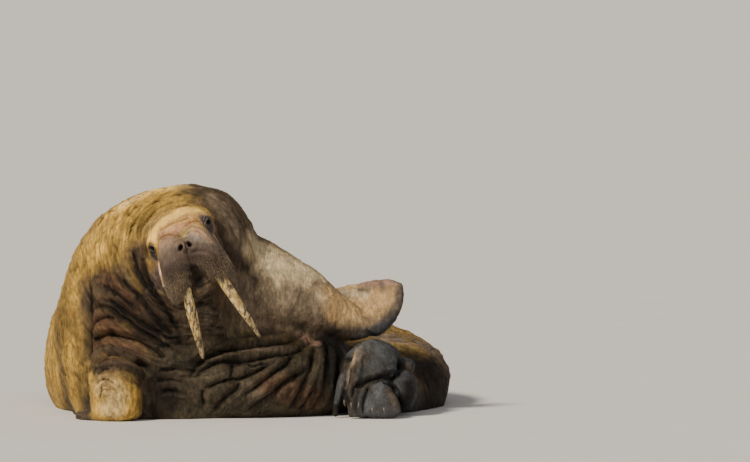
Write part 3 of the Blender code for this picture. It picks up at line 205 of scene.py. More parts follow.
# Skin folds: depth, half width, height of the roll beside it, and the points of the picture it runs through
FOLDS = {
    # Under the overhanging chest, then the fan of belly folds that spreads from the armpit
    "chest edge": (0.026, 0.016, 0.008, [
        (306, 331), (296, 336), (285, 340), (272, 342), (260, 344), (245, 346), (231, 348), (215, 353),
        (202, 361), (190, 377),
    ]),
    "chest edge, lower": (0.024, 0.015, 0.008, [
        (316, 336), (306, 344), (296, 350), (282, 353), (270, 355), (260, 357), (247, 360), (232, 361),
        (221, 361), (211, 365), (202, 371), (195, 378),
    ]),
    "belly fan 1": (0.018, 0.013, 0.007, [
        (296, 350), (292, 356), (286, 365), (277, 371), (270, 377), (262, 383), (255, 389), (245, 395),
    ]),
    "belly fan 2": (0.017, 0.012, 0.006, [
        (276, 361), (267, 366), (260, 370), (251, 375), (240, 379), (232, 379), (222, 382), (210, 387),
        (204, 388),
    ]),
    "belly fan 3": (0.018, 0.013, 0.007, [
        (310, 367), (300, 374), (290, 380), (282, 386), (274, 394), (265, 400), (256, 406), (247, 412),
    ]),
    "belly fan 4": (0.02, 0.013, 0.008, [
        (316, 345), (314, 357), (311, 370), (306, 382), (301, 392), (296, 401), (291, 410),
    ]),
    "belly fan 5": (0.014, 0.01, 0.004, [(315, 390), (310, 397), (304, 405), (299, 411)]),
    "belly fan 6": (0.022, 0.014, 0.008, [
        (329, 344), (329, 361), (327, 380), (325, 392), (319, 402), (312, 411),
    ]),
    "belly fan 7": (0.015, 0.011, 0.005, [(240, 381), (236, 390), (227, 397), (220, 404), (214, 410)]),
    "belly fan 8": (0.012, 0.01, 0.004, [(203, 390), (202, 397), (204, 406)]),
    "belly fan 9": (0.013, 0.01, 0.004, [(232, 361), (232, 370), (230, 379)]),
    "belly fan 10": (0.011, 0.009, 0.003, [(247, 361), (252, 366), (261, 364), (271, 363)]),
    # Rolls over the right fore limb
    "roll over the right limb": (0.026, 0.015, 0.013, [
        (91, 343), (96, 339), (105, 336), (114, 336), (122, 338), (134, 341), (145, 346), (158, 354),
        (166, 361),
    ]),
    "roll over the right limb, lower": (0.024, 0.013, 0.01, [
        (93, 373), (95, 363), (101, 356), (109, 354), (119, 354), (129, 358), (139, 363), (146, 369),
        (151, 376),
    ]),
    "right limb wrinkle": (0.007, 0.008, 0.002, [
        (98, 365), (104, 360), (112, 358), (121, 359), (128, 362),
    ]),
    "right wrist": (0.01, 0.008, 0.005, [(98, 399), (101, 391), (106, 389), (111, 391)]),
    "right shoulder": (0.014, 0.011, 0.006, [(91, 334), (94, 324), (101, 319), (108, 318), (115, 319)]),
    # Long diagonals from the flap at the left down to the middle of the chest
    "diagonal 1": (0.022, 0.014, 0.01, [
        (91, 309), (102, 307), (112, 310), (119, 317), (128, 321), (136, 329), (145, 334), (154, 339),
        (164, 346), (174, 351),
    ]),
    "diagonal 2": (0.016, 0.012, 0.008, [
        (99, 299), (112, 303), (124, 311), (138, 321), (152, 329), (166, 337), (180, 344), (188, 349),
    ]),
    "diagonal 3": (0.014, 0.012, 0.006, [
        (112, 272), (124, 283), (134, 292), (142, 301), (152, 312), (160, 324), (168, 332), (180, 342),
    ]),
    "diagonal 4": (0.012, 0.011, 0.006, [
        (131, 262), (137, 275), (146, 286), (156, 297), (166, 309), (174, 322), (182, 335),
    ]),
    "diagonal 5": (0.01, 0.01, 0.004, [(103, 285), (111, 291), (121, 297), (131, 305), (141, 313)]),
    # Edge of the flap of skin down the left
    "flap edge": (0.016, 0.013, 0.01, [
        (90, 268), (89, 285), (90, 300), (91, 320), (90, 340), (91, 360), (93, 383),
    ]),
    # Hood round the crown and behind the face
    "hood edge": (0.012, 0.01, 0.007, [
        (150, 262), (147, 252), (147, 240), (151, 226), (164, 213), (178, 208), (192, 206), (204, 209),
        (213, 220), (219, 234), (225, 250),
    ]),
    "hood cheek": (0.016, 0.012, 0.009, [
        (143, 258), (146, 270), (151, 283), (158, 297), (167, 308), (178, 314),
    ]),
    "hood cheek, outer": (0.01, 0.01, 0.005, [(133, 246), (135, 262), (141, 277), (149, 291)]),
    "hood ripple 1": (0.008, 0.01, 0.005, [
        (139, 240), (141, 229), (147, 219), (157, 209), (171, 202), (189, 199),
    ]),
    "hood ripple 2": (0.008, 0.01, 0.005, [
        (128, 243), (130, 230), (138, 216), (150, 204), (167, 196), (187, 193),
    ]),
    "hood ripple 3": (0.006, 0.009, 0.004, [(118, 244), (121, 228), (130, 212), (144, 199), (160, 192)]),
    "hood ripple 4": (0.006, 0.009, 0.004, [(107, 248), (110, 231), (120, 213), (133, 201)]),
    # Top edge of the muzzle above each nostril, and the furrow of the brow
    "muzzle top, right": (0.008, 0.007, 0.004, [
        (157, 246), (159, 240), (163, 236), (170, 234), (177, 235), (182, 237),
    ]),
    "muzzle top, right, lower": (0.005, 0.005, 0.002, [(163, 240), (167, 237), (172, 236), (178, 238)]),
    "muzzle top, left": (0.008, 0.007, 0.004, [
        (182, 235), (187, 229), (193, 226), (199, 227), (205, 231), (210, 236),
    ]),
    "muzzle top, left, lower": (0.004, 0.005, 0.002, [(186, 235), (191, 231), (197, 231), (203, 234)]),
    "between the nostrils": (0.005, 0.004, 0.002, [(184, 240), (186, 246), (188, 252)]),
    "brow": (0.006, 0.008, 0.005, [(155, 233), (161, 229), (168, 225), (174, 222), (181, 220), (190, 217)]),
    "brow, left": (0.004, 0.006, 0.003, [(183, 229), (190, 223), (197, 221), (202, 223)]),
    # Dark side of the neck at the right
    "neck side 1": (0.004, 0.01, 0.002, [(222, 214), (231, 226), (238, 242), (243, 258), (244, 272)]),
    "neck side 2": (0.003, 0.01, 0.002, [(231, 207), (241, 222), (249, 239), (254, 252), (258, 264)]),
    # Small cross wrinkles under the chin, and the top of the left whisker pad
    "throat 1": (0.007, 0.008, 0.005, [(190, 306), (200, 303), (212, 305)]),
    "throat 2": (0.007, 0.008, 0.005, [(193, 317), (205, 314), (220, 317)]),
    "throat 3": (0.006, 0.008, 0.004, [(196, 328), (212, 326), (228, 329)]),
    "pad top, left": (0.004, 0.007, 0.003, [(189, 254), (197, 251), (206, 251), (214, 254), (220, 259)]),
    "column wrinkle 1": (0.007, 0.006, 0.004, [(98, 374), (104, 369), (110, 368)]),
    "column wrinkle 2": (0.008, 0.006, 0.005, [(96, 384), (102, 379), (109, 380), (114, 384)]),
    "column wrinkle 3": (0.007, 0.006, 0.005, [(97, 393), (104, 386), (111, 388), (118, 392)]),
    # Level wrinkles between the standing limb and the belly
    "between limb and belly 1": (0.008, 0.008, 0.006, [(158, 372), (172, 369), (188, 371), (204, 368)]),
    "between limb and belly 2": (0.008, 0.008, 0.006, [(156, 382), (170, 380), (184, 383)]),
    "between limb and belly 3": (0.007, 0.008, 0.005, [(158, 393), (172, 391), (186, 395)]),
    # Between the two hind flippers
    "between the hind flippers": (0.022, 0.011, 0.006, [
        (352, 397), (355, 389), (362, 384), (376, 379), (388, 376), (399, 373),
    ]),
    "hind toe": (0.018, 0.009, 0.005, [(364, 415), (364, 402), (366, 391), (371, 384)]),
    "heel": (0.016, 0.009, 0.005, [(383, 382), (391, 386), (397, 393), (400, 405)]),
    "hind digit 1": (0.007, 0.008, 0.004, [(353, 350), (349, 362), (346, 378), (347, 396), (350, 408)]),
    "hind digit 2": (0.005, 0.008, 0.003, [(361, 347), (358, 360), (355, 375)]),
}


def unit(v):
    return v / max(np.linalg.norm(v), 1e-9)


def catmull(rows, steps):
    """Rows of numbers read as a smooth curve, with this many steps from each row to the next."""
    rows = np.array(rows, float)
    padded = np.vstack([2 * rows[0] - rows[1], rows, 2 * rows[-1] - rows[-2]])
    out = []
    for i in range(1, len(padded) - 2):
        p0, p1, p2, p3 = padded[i - 1 : i + 3]
        for t in np.arange(steps) / steps:
            out.append(0.5 * (2 * p1 + (p2 - p0) * t + (2 * p0 - 5 * p1 + 4 * p2 - p3) * t**2
                              + (3 * p1 - p0 - 3 * p2 + p3) * t**3))
    out.append(padded[-2])
    return np.array(out)


def linked(name, data):
    obj = bpy.data.objects.new(name, data)
    bpy.context.scene.collection.objects.link(obj)
    return obj


def from_bmesh(name, body, mesh=None):
    """An object from a finished bmesh, which is freed."""
    mesh = mesh or bpy.data.meshes.new(name)
    body.to_mesh(mesh)
    body.free()
    return linked(name, mesh)


def closed_object(name, points, faces):
    mesh = bpy.data.meshes.new(name)
    mesh.from_pydata([tuple(p) for p in points], [], faces)
    body = bmesh.new()
    body.from_mesh(mesh)
    bmesh.ops.recalc_face_normals(body, faces=body.faces)
    return from_bmesh(name, body, mesh)


def loft(name, rings):
    """A closed skin over rings of equal point count, each end closed by a fan of triangles."""
    count = len(rings[0])
    points = np.vstack([*rings, rings[0].mean(0)[None], rings[-1].mean(0)[None]])
    first_pole, last_pole = len(points) - 2, len(points) - 1
    last = (len(rings) - 1) * count
    faces = []
    for r in range(len(rings) - 1):
        for k in range(count):
            n = (k + 1) % count
            faces.append((r * count + k, r * count + n, (r + 1) * count + n, (r + 1) * count + k))
    for k in range(count):
        n = (k + 1) % count
        faces.append((first_pole, n, k))
        faces.append((last_pole, last + k, last + n))
    return closed_object(name, points, faces)


def superellipse(power, count):
    """Sideways and upward places round a section of unit size whose corners are squared off by the power."""
    angle = np.linspace(0, 2 * math.pi, count, endpoint=False)
    return [np.sign(wave) * np.abs(wave) ** (2 / power) for wave in (np.cos(angle), np.sin(angle))]


def domed(section, count, start, end):
    """The sections along a path, with more rings that round off its two ends."""
    rings = [section(0, math.cos(t), -start * math.sin(t)) for t in DOME]
    rings += [section(i, 1.0, 0.0) for i in range(count)]
    return rings + [section(count - 1, math.cos(t), end * math.sin(t)) for t in DOME[::-1]]


def tube(name, stations, side_hint, steps=CURVE_STEPS, power=2.2, round_ends=(1.0, 1.0), level=False,
         count=RING_POINTS):
    """A limb or trunk: squared-off sections along a smooth path, with domed ends. Level ones stay flat."""
    rows = catmull(stations, steps)
    centres = rows[:, :3]
    tangents = np.gradient(centres, axis=0)
    if level:
        tangents[:, :2] = 0
    across, upward = superellipse(power, count)

    def section(i, shrink, shift):
        along = unit(tangents[i])
        side = unit(np.array(side_hint, float) - np.dot(side_hint, along) * along)
        up = np.cross(along, side)
        a, b = rows[i, 3] * shrink, rows[i, 4] * shrink
        centre = centres[i] + along * shift
        return centre + np.outer(across * a, side) + np.outer(upward * b, up)

    start, end = min(rows[0, 3:5]) * round_ends[0], min(rows[-1, 3:5]) * round_ends[1]
    return loft(name, domed(section, len(rows), start, end))


def trunk_tube():
    """The trunk turns in the floor plane, and its blubber sags so that it is widest low down."""
    rows = catmull(TRUNK, CURVE_STEPS)
    tangents = np.gradient(rows[:, :3], axis=0) * np.array((1, 1, 0))
    across, upward = superellipse(TRUNK_POWER, RING_POINTS)
    up = np.array((0.0, 0.0, 1.0))

    def section(i, shrink, shift):
        along = unit(tangents[i])
        side = np.cross(along, up)
        centre = rows[i, :3] + along * shift
        height = np.where(upward > 0, rows[i, 4] - rows[i, 2], rows[i, 2] + TRUNK_SUNK)
        return centre + np.outer(across * rows[i, 3] * shrink, side) + np.outer(upward * height * shrink, up)

    return loft("trunk", domed(section, len(rows), TRUNK_FRONT, TRUNK_BACK))


def ellipsoid(name, centre, radii, turn=(0, 0, 0), matrix=None):
    bpy.ops.mesh.primitive_uv_sphere_add(segments=40, ring_count=24, radius=1.0)
    obj = bpy.context.object
    obj.name = name
    place = Matrix.LocRotScale(Vector(centre), Euler([math.radians(a) for a in turn]), Vector(radii))
    obj.data.transform((matrix @ place) if matrix else place)
    return obj


def flipper(name, root, middle, tip, thick, ribs=0.28, digits=5, steps=16, across=40):
    """A webbed fan: three curves (root, middle and fingertips) read across the hand, ribbed by digits."""
    rows = [catmull(c, 6) for c in (root, middle, tip)]
    rings = []
    s = np.linspace(0, 1, across)
    curves = []
    for row in rows:
        place = np.linspace(0, 1, len(row))
        curves.append(np.stack([np.interp(s, place, row[:, k]) for k in range(3)], axis=1))
    for f in np.linspace(0, 1, steps):
        line = (1 - f) ** 2 * curves[0] + 2 * f * (1 - f) * curves[1] + f**2 * curves[2]
        ahead = 2 * (1 - f) * (curves[1] - curves[0]) + 2 * f * (curves[2] - curves[1])
        across_dir = np.gradient(line, axis=0)
        normal = np.cross(ahead, across_dir)
        normal /= np.maximum(np.linalg.norm(normal, axis=1)[:, None], 1e-9)
        rib = 1 + ribs * f * np.cos(2 * math.pi * (s * (digits - 1)))
        edge = np.clip(np.minimum(s, 1 - s) / FLIPPER_MARGIN, 0, 1)
        side = np.sqrt(1 - (1 - edge) ** 2)
        half = (thick[0] + (thick[1] - thick[0]) * f) * rib * (FLIPPER_EDGE + (1 - FLIPPER_EDGE) * side)
        if f == 1:
            half = half * 0.5
        rings.append(np.vstack([line + normal * half[:, None], (line - normal * half[:, None])[::-1]]))
    return loft(name, rings)


def evaluated_mesh(obj):
    graph = bpy.context.evaluated_depsgraph_get()
    return bpy.data.meshes.new_from_object(obj.evaluated_get(graph))


def bake_modifiers(obj):
    mesh = evaluated_mesh(obj)
    obj.modifiers.clear()
    obj.data = mesh
    return obj


def fuse(name, pieces, voxel, smoothing):
    """Overlapping masses become one closed skin, with the seams between them softened."""
    body = bmesh.new()
    for piece in pieces:
        body.from_mesh(piece.data)
        bpy.data.objects.remove(piece)
    obj = from_bmesh(name, body)
    remesh = obj.modifiers.new("fuse", "REMESH")
    remesh.mode = "VOXEL"
    remesh.voxel_size = voxel
    smooth = obj.modifiers.new("soften", "SMOOTH")
    smooth.iterations = smoothing
    return bake_modifiers(obj)


def head_matrix():
    return (
        Matrix.Translation(HEAD_CENTRE)
        @ Matrix.Rotation(HEAD_ROLL, 4, "Y")
        @ Matrix.Rotation(HEAD_PITCH, 4, "X")
    )


def muzzle_block():
    """The inflated muzzle: its outline from the front, drawn in at the back and rounded off in front."""
    half = catmull(MUZZLE_OUTLINE, 5)
    outline = np.vstack([half, half[-2:0:-1] * (-1, 1)])
    rings = []
    for along in (*MUZZLE_BACK, MUZZLE_SHOULDER):
        rings.append((along, 1.0 - 0.10 * (along - MUZZLE_SHOULDER) / (MUZZLE_BACK[0] - MUZZLE_SHOULDER)))
    for ahead in np.radians([16, 32, 46, 58, 69, 79]):
        reach = math.sin(ahead) ** (2 / MUZZLE_POWER)
        along = MUZZLE_SHOULDER - reach * (MUZZLE_FRONT + MUZZLE_SHOULDER)
        rings.append((along, math.cos(ahead) ** (2 / MUZZLE_POWER)))
    inward = outline - MUZZLE_MIDDLE
    return loft("muzzle_block", [
        np.insert(MUZZLE_MIDDLE + inward * scale, 1, along, axis=1) for along, scale in rings
    ])


def head_masses():
    """Skull, cheeks, muzzle, whisker pads, nose and chin, in the head's own axes."""
    m = head_matrix()
    block = muzzle_block()
    block.data.transform(m)
    masses = [
        block,
        ellipsoid("cranium", (0, 0.08, -0.012), (0.158, 0.19, 0.128), matrix=m),
        ellipsoid("cheeks", (0, 0.06, -0.105), (0.146, 0.16, 0.125), matrix=m),
        ellipsoid("throat", (0.0, 0.10, -0.20), (0.15, 0.17, 0.10), matrix=m),
        ellipsoid("nose", (0, -0.152, -0.030), (0.048, 0.034, 0.034), matrix=m),
        ellipsoid("mouth_floor", (0, -0.060, -0.192), (0.064, 0.082, 0.045), matrix=m),
        ellipsoid("chin", (-0.006, -0.078, -0.240), (0.060, 0.060, 0.036), matrix=m),
    ]
    for side in (-1, 1):
        masses += [
            ellipsoid("pad", (side * 0.074, -0.128, -0.118), (0.064, 0.062, 0.084), (0, side * -10, 0), m),
            ellipsoid("jowl", (side * 0.100, -0.106, -0.168), (0.049, 0.064, 0.058), (0, side * -14, 0), m),
            ellipsoid("brow", (side * 0.112, 0.004, 0.008), (0.040, 0.042, 0.040), matrix=m),
        ]
    return masses


def body_masses():
    right_hand = flipper(
        "right_hand",
        root=[(-0.53, -0.50, 0.016), (-0.42, -0.40, 0.016)],
        middle=[(-0.57, -0.46, 0.020), (-0.54, -0.30, 0.020)],
        tip=[(-0.61, -0.45, 0.012), (-0.655, -0.40, 0.012), (-0.67, -0.33, 0.012), (-0.65, -0.25, 0.012),
             (-0.59, -0.20, 0.012)],
        thick=(0.030, 0.013),
    )
    left_hand = flipper(
        "left_hand",
        root=[(0.42, 0.02, 0.500), (0.51, -0.03, 0.410), (0.640, -0.05, 0.338)],
        middle=[(0.45, 0.07, 0.530), (0.56, 0.04, 0.490), (0.785, -0.02, 0.425)],
        tip=[(0.462, 0.10, 0.538), (0.53, 0.09, 0.560), (0.60, 0.075, 0.577), (0.69, 0.05, 0.590),
             (0.758, 0.03, 0.574)],
        thick=(0.042, 0.013),
    )
    left_foot = flipper(
        "left_foot",
        root=[(0.58, 0.08, 0.14), (0.66, 0.06, 0.18), (0.73, 0.02, 0.19)],
        middle=[(0.490, -0.10, 0.38), (0.62, -0.16, 0.450), (0.735, -0.12, 0.32)],
        tip=[(0.478, -0.25, 0.060), (0.515, -0.285, 0.040), (0.56, -0.29, 0.095), (0.64, -0.265, 0.148),
             (0.725, -0.21, 0.180)],
        thick=(0.050, 0.020),
        ribs=0.14,
    )
    feet = [
        left_foot,
        tube("stripe_digit", [(0.605, -0.13, 0.290, 0.030, 0.026), (0.563, -0.22, 0.258, 0.026, 0.024),
                              (0.545, -0.285, 0.165, 0.024, 0.024), (0.537, -0.325, 0.070, 0.024, 0.022),
                              (0.535, -0.335, 0.022, 0.021, 0.018)], (1, 0, 0)),
        tube("outer_digit", [(0.515, -0.18, 0.230, 0.022, 0.022), (0.484, -0.255, 0.130, 0.018, 0.020),
                             (0.465, -0.285, 0.055, 0.015, 0.016), (0.462, -0.300, 0.018, 0.013, 0.013)],
             (1, 0, 0)),
        tube("toe_a", [(0.630, -0.16, 0.150, 0.026, 0.032), (0.604, -0.27, 0.112, 0.028, 0.034),
                       (0.582, -0.325, 0.064, 0.030, 0.030), (0.570, -0.345, 0.022, 0.030, 0.020)],
             (1, 0, 0)),
        tube("toe_b", [(0.672, -0.12, 0.140, 0.040, 0.040), (0.660, -0.25, 0.122, 0.042, 0.044),
                       (0.668, -0.315, 0.068, 0.068, 0.040), (0.674, -0.345, 0.022, 0.080, 0.022)],
             (1, 0, 0)),
        ellipsoid("heel", (0.755, -0.11, 0.112), (0.073, 0.14, 0.088)),
        tube("tail_nub", [(0.70, 0.24, 0.165, 0.060, 0.055), (0.735, 0.12, 0.190, 0.052, 0.046),
                          (0.765, 0.00, 0.205, 0.044, 0.036), (0.776, -0.08, 0.203, 0.034, 0.030)],
             (1, 0, 0)),
    ]
    return {
        "blubber": [
            trunk_tube(),
            tube("neck", NECK, (1, 0, 0), power=2.1, round_ends=(0.1, 0.2), level=True),
            tube("belly", BELLY, (0, 1, 0), power=2.2, round_ends=(0.3, 0.6)),
            tube("left_arm", LEFT_ARM, (0, 1, 0), power=2.1, round_ends=(0.3, 0.8)),
        ],
        "limbs": [
            tube("right_arm", RIGHT_ARM, (1, 0, 0), power=2.2, round_ends=(0.3, 0.5)),
            right_hand,
            left_hand,
            *feet,
        ],
    }


def sight_line(across, down):
    """Where the eye looks through this point of the picture."""
    ahead = Vector((0, math.cos(VIEW_TILT), -math.sin(VIEW_TILT)))
    up = Vector((0, math.sin(VIEW_TILT), math.cos(VIEW_TILT)))
    right = Vector((1, 0, 0))
    offset = right * (across - PICTURE_SIZE[0] / 2) + up * (PICTURE_SIZE[1] / 2 - down)
    return (ahead + offset / PIXELS_PER_RADIAN).normalized()


def search_tree(obj):
    return BVHTree.FromObject(obj, bpy.context.evaluated_depsgraph_get())


def on_skin(tree, outline, steps):
    """A line drawn in the picture, laid on the skin."""
    hits = [tree.ray_cast(VIEWPOINT, sight_line(*point))[0] for point in catmull(outline, steps)]
    return np.array([hit for hit in hits if hit is not None])


def values_of(items, field, width=3, kind=float):
    values = np.empty(len(items) * width, kind)
    items.foreach_get(field, values)
    return values.reshape(-1, width)


def coordinates(mesh):
    return values_of(mesh.vertices, "co")


def normals_of(mesh):
    return values_of(mesh.vertex_normals, "vector")


def triangles_of(mesh):
    mesh.calc_loop_triangles()
    return values_of(mesh.loop_triangles, "vertices", kind=np.int32)


def place_points(mesh, points):
    mesh.vertices.foreach_set("co", points.ravel())
    mesh.update()


def head_axes(points):
    into = np.array(head_matrix().inverted())
    return points @ into[:3, :3].T + into[:3, 3]


def from_face(points):
    """Distance from the middle of the face."""
    return np.linalg.norm(head_axes(points) - np.array(FACE_MIDDLE), axis=1)


def beside(line, points, reach):
    """Which points lie in the line's own box, widened by the reach."""
    return np.flatnonzero(((points > line.min(0) - reach) & (points < line.max(0) + reach)).all(1))


def hump(distance, at, width):
    """1 at this distance, and falling off smoothly on both sides of it."""
    return np.exp(-(((distance - at) / width) ** 2))


def fold_depths(points, line, depth, width, roll):
    """How far this fold moves each point along its normal: the groove, the rolls on both sides, and the painted
    shade along the groove.
    """
    reach = FOLD_REACH * width
    near = beside(line, points, reach)
    away = np.linalg.norm(points[near, None] - line[None], axis=2)
    place = away.argmin(1) / (len(line) - 1)
    away = away.min(1)
    fade = np.sqrt(np.clip(np.minimum(place, 1 - place) / FOLD_FADE, 0, 1))
    dip = sum(share * hump(away, 0, spread * width) for share, spread in FOLD_BELLS)
    rolls = roll * hump(away, ROLL_PLACE * width, ROLL_SPREAD * width) * fade
    # painted shade: darker along the bottom of the groove
    dark = fade * hump(away, 0, 0.40 * width + 0.0015) * min(1, depth / 0.010)
    return near, -depth * dip * fade, rolls, dark


def press_folds(obj, folds):
    """The creases are pressed into the skin; the painted shade along each groove is returned for each vertex.
    """
    mesh = obj.data
    tree = search_tree(obj)
    points, normals = coordinates(mesh), normals_of(mesh)
    groove, rolls, shade = np.zeros((3, len(points)))
    for depth, width, roll, outline in folds.values():
        line = on_skin(tree, outline, 14)
        near, down, up, dark = fold_depths(points, line, depth, width, roll)
        groove[near] = np.minimum(groove[near], down)
        rolls[near] = np.maximum(rolls[near], up)
        shade[near] = np.maximum(shade[near], dark)
    move = groove + rolls * np.exp(groove / 0.006)
    place_points(mesh, points + normals * move[:, None])
    return shade


def lids(p, side):
    """Thick soft lids round an almond opening, the upper one hooded, with furrows outside them."""
    look = np.array(EYE_LOOK) * (side, 1, 1)
    offset = p - np.array(EYE_CENTRE) * (side, 1, 1)
    level = unit(np.cross(look, (0, 0, 1)))
    rise = np.cross(level, look)
    across, up = offset @ level, offset @ rise
    height = np.where(up > 0, 0.80, 1.0) * EYE_OPENING[1] * (1.12 - 0.35 * np.abs(across) / EYE_OPENING[0])
    r = np.hypot(across / EYE_OPENING[0], up / np.maximum(height, 0.002))
    upper = 1 + 0.6 * np.clip(up / 0.02, -1, 1)
    opening = -0.015 * np.exp(-(r**6))
    rims = (0.0046 * upper * hump(r, 1.55, 0.42) - 0.0030 * upper * hump(r, 2.4, 0.34)
            + 0.0026 * hump(r, 3.0, 0.4) - 0.0022 * hump(r, 3.8, 0.4) + 0.0014 * hump(r, 4.6, 0.4))
    return (offset @ look > 0) * (opening + rims)


def nostril(p, side):
    """A slanted hole with a soft rim."""
    x, z = p[:, 0] - NOSE_SHIFT - side * NOSTRIL[0], p[:, 2] - NOSTRIL[1]
    slant = -side * NOSTRIL_SLANT
    s, t = x * math.cos(slant) - z * math.sin(slant), x * math.sin(slant) + z * math.cos(slant)
    r = np.hypot(s / NOSTRIL_HALF[0], t / NOSTRIL_HALF[1])
    return -NOSTRIL_DEPTH * np.exp(-(r**4)) + 0.0012 * hump(r, 1.9, 0.6)


def mouth(p):
    """The furrow below the nose, the dark hollow between the whisker pads, and the lower lip under it."""
    x, z = p[:, 0], p[:, 2]
    furrow = np.clip((z + 0.150) / 0.02, 0, 1) * np.clip((-0.050 - z) / 0.015, 0, 1) * hump(x, 0, 0.007)
    hollow = np.exp(-(np.hypot(x / MOUTH_HALF[0], (z - MOUTH_HEIGHT) / MOUTH_HALF[1]) ** 4))
    lip = hump(z, LIP_HEIGHT + 3.0 * x**2, 0.006) * np.clip((0.058 - np.abs(x)) / 0.015, 0, 1)
    return -0.008 * furrow - MOUTH_DEPTH * hollow + LIP_RISE * lip


def face_features(obj):
    """Lids, nostrils and mouth, pressed into the skin in the head's own axes; returns the painted shade for
    inside the nostrils.
    """
    mesh = obj.data
    points, normals = coordinates(mesh), normals_of(mesh)
    local = head_axes(points)
    facing = normals @ np.array(head_matrix().inverted())[:3, :3].T
    near = np.flatnonzero((np.abs(local[:, 0]) < 0.2) & (np.abs(local[:, 2] + 0.06) < 0.24)
                          & (local[:, 1] < 0.12) & (local[:, 1] > -0.26))
    p = local[near]
    front = np.clip((-facing[near, 1] - 0.05) / 0.3, 0, 1) * (p[:, 1] < -0.05)
    nose = nostril(p, -1) + nostril(p, 1)
    move = front * (nose + mouth(p)) + lids(p, -1) + lids(p, 1)
    hollow = np.zeros(len(points))
    # painted shade inside the nostrils, darker where they are deeper
    hollow[near] = front * np.clip(-nose / 0.012, 0, 1)
    points[near] += normals[near] * move[:, None]
    place_points(mesh, points)
    return hollow


def soften(obj, centre, radius, iterations):
    """The skin round this point is smoothed, where one mass runs out into another."""
    away = np.linalg.norm(coordinates(obj.data) - np.array(centre), axis=1)
    weight = np.clip(1.5 - 1.5 * away / radius, 0, 1)
    group = obj.vertex_groups.new(name="soft")
    for i in np.flatnonzero(weight):
        group.add([int(i)], float(weight[i]), "REPLACE")
    smooth = obj.modifiers.new("soft", "SMOOTH")
    smooth.iterations = iterations
    smooth.vertex_group = "soft"
    bake_modifiers(obj)
    obj.vertex_groups.clear()


def thin_out(obj, near_head, elsewhere):
    """Fewer triangles: the body is thinned out first with the head spared, then the head on its own."""
    for spare_head in (True, False):
        head = from_face(coordinates(obj.data)) < THIN_REACH
        group = obj.vertex_groups.new(name="thin")
        group.add(np.flatnonzero(head != spare_head).tolist(), 1.0, "REPLACE")
        corners = triangles_of(obj.data)
        on_head = int(head[corners].all(1).sum())
        target = elsewhere + (on_head if spare_head else near_head)
        decimate = obj.modifiers.new("thin", "DECIMATE")
        decimate.ratio = target / len(corners)
        decimate.vertex_group = "thin"
        decimate.vertex_group_factor = 1.0
        decimate.use_collapse_triangulate = True
        bake_modifiers(obj)
        obj.vertex_groups.clear()


SURE_RANDOM = np.random.default_rng(11)
CELLS = 4096
SHUFFLE = SURE_RANDOM.permutation(CELLS)
LEVELS = SURE_RANDOM.uniform(-1, 1, CELLS)


def noise(points, size):
    """Smooth random relief from -1 to 1, with lumps of about this size."""
    place = np.asarray(points) / size
    low = np.floor(place).astype(int)
    t = place - low
    t = t * t * (3 - 2 * t)
    total = np.zeros(len(place))
    for corner in itertools.product((0, 1), repeat=3):
        weight = np.prod(np.where(corner, t, 1 - t), axis=1)
        x, y, z = ((low + corner) % CELLS).T
        total += weight * LEVELS[SHUFFLE[(SHUFFLE[(SHUFFLE[x] + y) % CELLS] + z) % CELLS]]
    return total


def layered(points, size, layers=3):
    """Noise of halving size and strength, each layer turned a little so that no grid shows."""
    total = 0
    for layer in range(layers):
        turned = points @ np.array(Euler((0.7 * layer, 0.4 * layer + 0.3, 1.1 * layer)).to_matrix())
        total = total + noise(turned + 7.3 * layer, size / 2**layer) / 1.8**layer
    return total


def step(value, low, high):
    """0 below low and 1 above high, smooth between them."""
    t = np.clip((value - low) / (high - low), 0, 1)
    return t * t * (3 - 2 * t)


def round_the_face(points):
    """Distance from the axis of the face, and the angle round it from the top."""
    local = head_axes(points)
    down = local[:, 2] - HOOD_AXIS
    return np.hypot(local[:, 0], down), np.arctan2(local[:, 0], down), local


def refine_face(obj):
    """The skin of the head gets four faces for each one."""
    body = bmesh.new()
    body.from_mesh(obj.data)
    near = from_face(coordinates(obj.data)) < FACE_REACH
    edges = [e for e in body.edges if near[e.verts[0].index] and near[e.verts[1].index]]
    bmesh.ops.subdivide_edges(body, edges=edges, cuts=1, use_grid_fill=True)
    body.to_mesh(obj.data)
    body.free()


def hood_space(points):
    """Places measured out from the face and round it, so that lumps grow long round the hood."""
    away, angle, local = round_the_face(points)
    return np.stack([away, angle * 0.055, local[:, 1] * 0.35], axis=1), away, angle


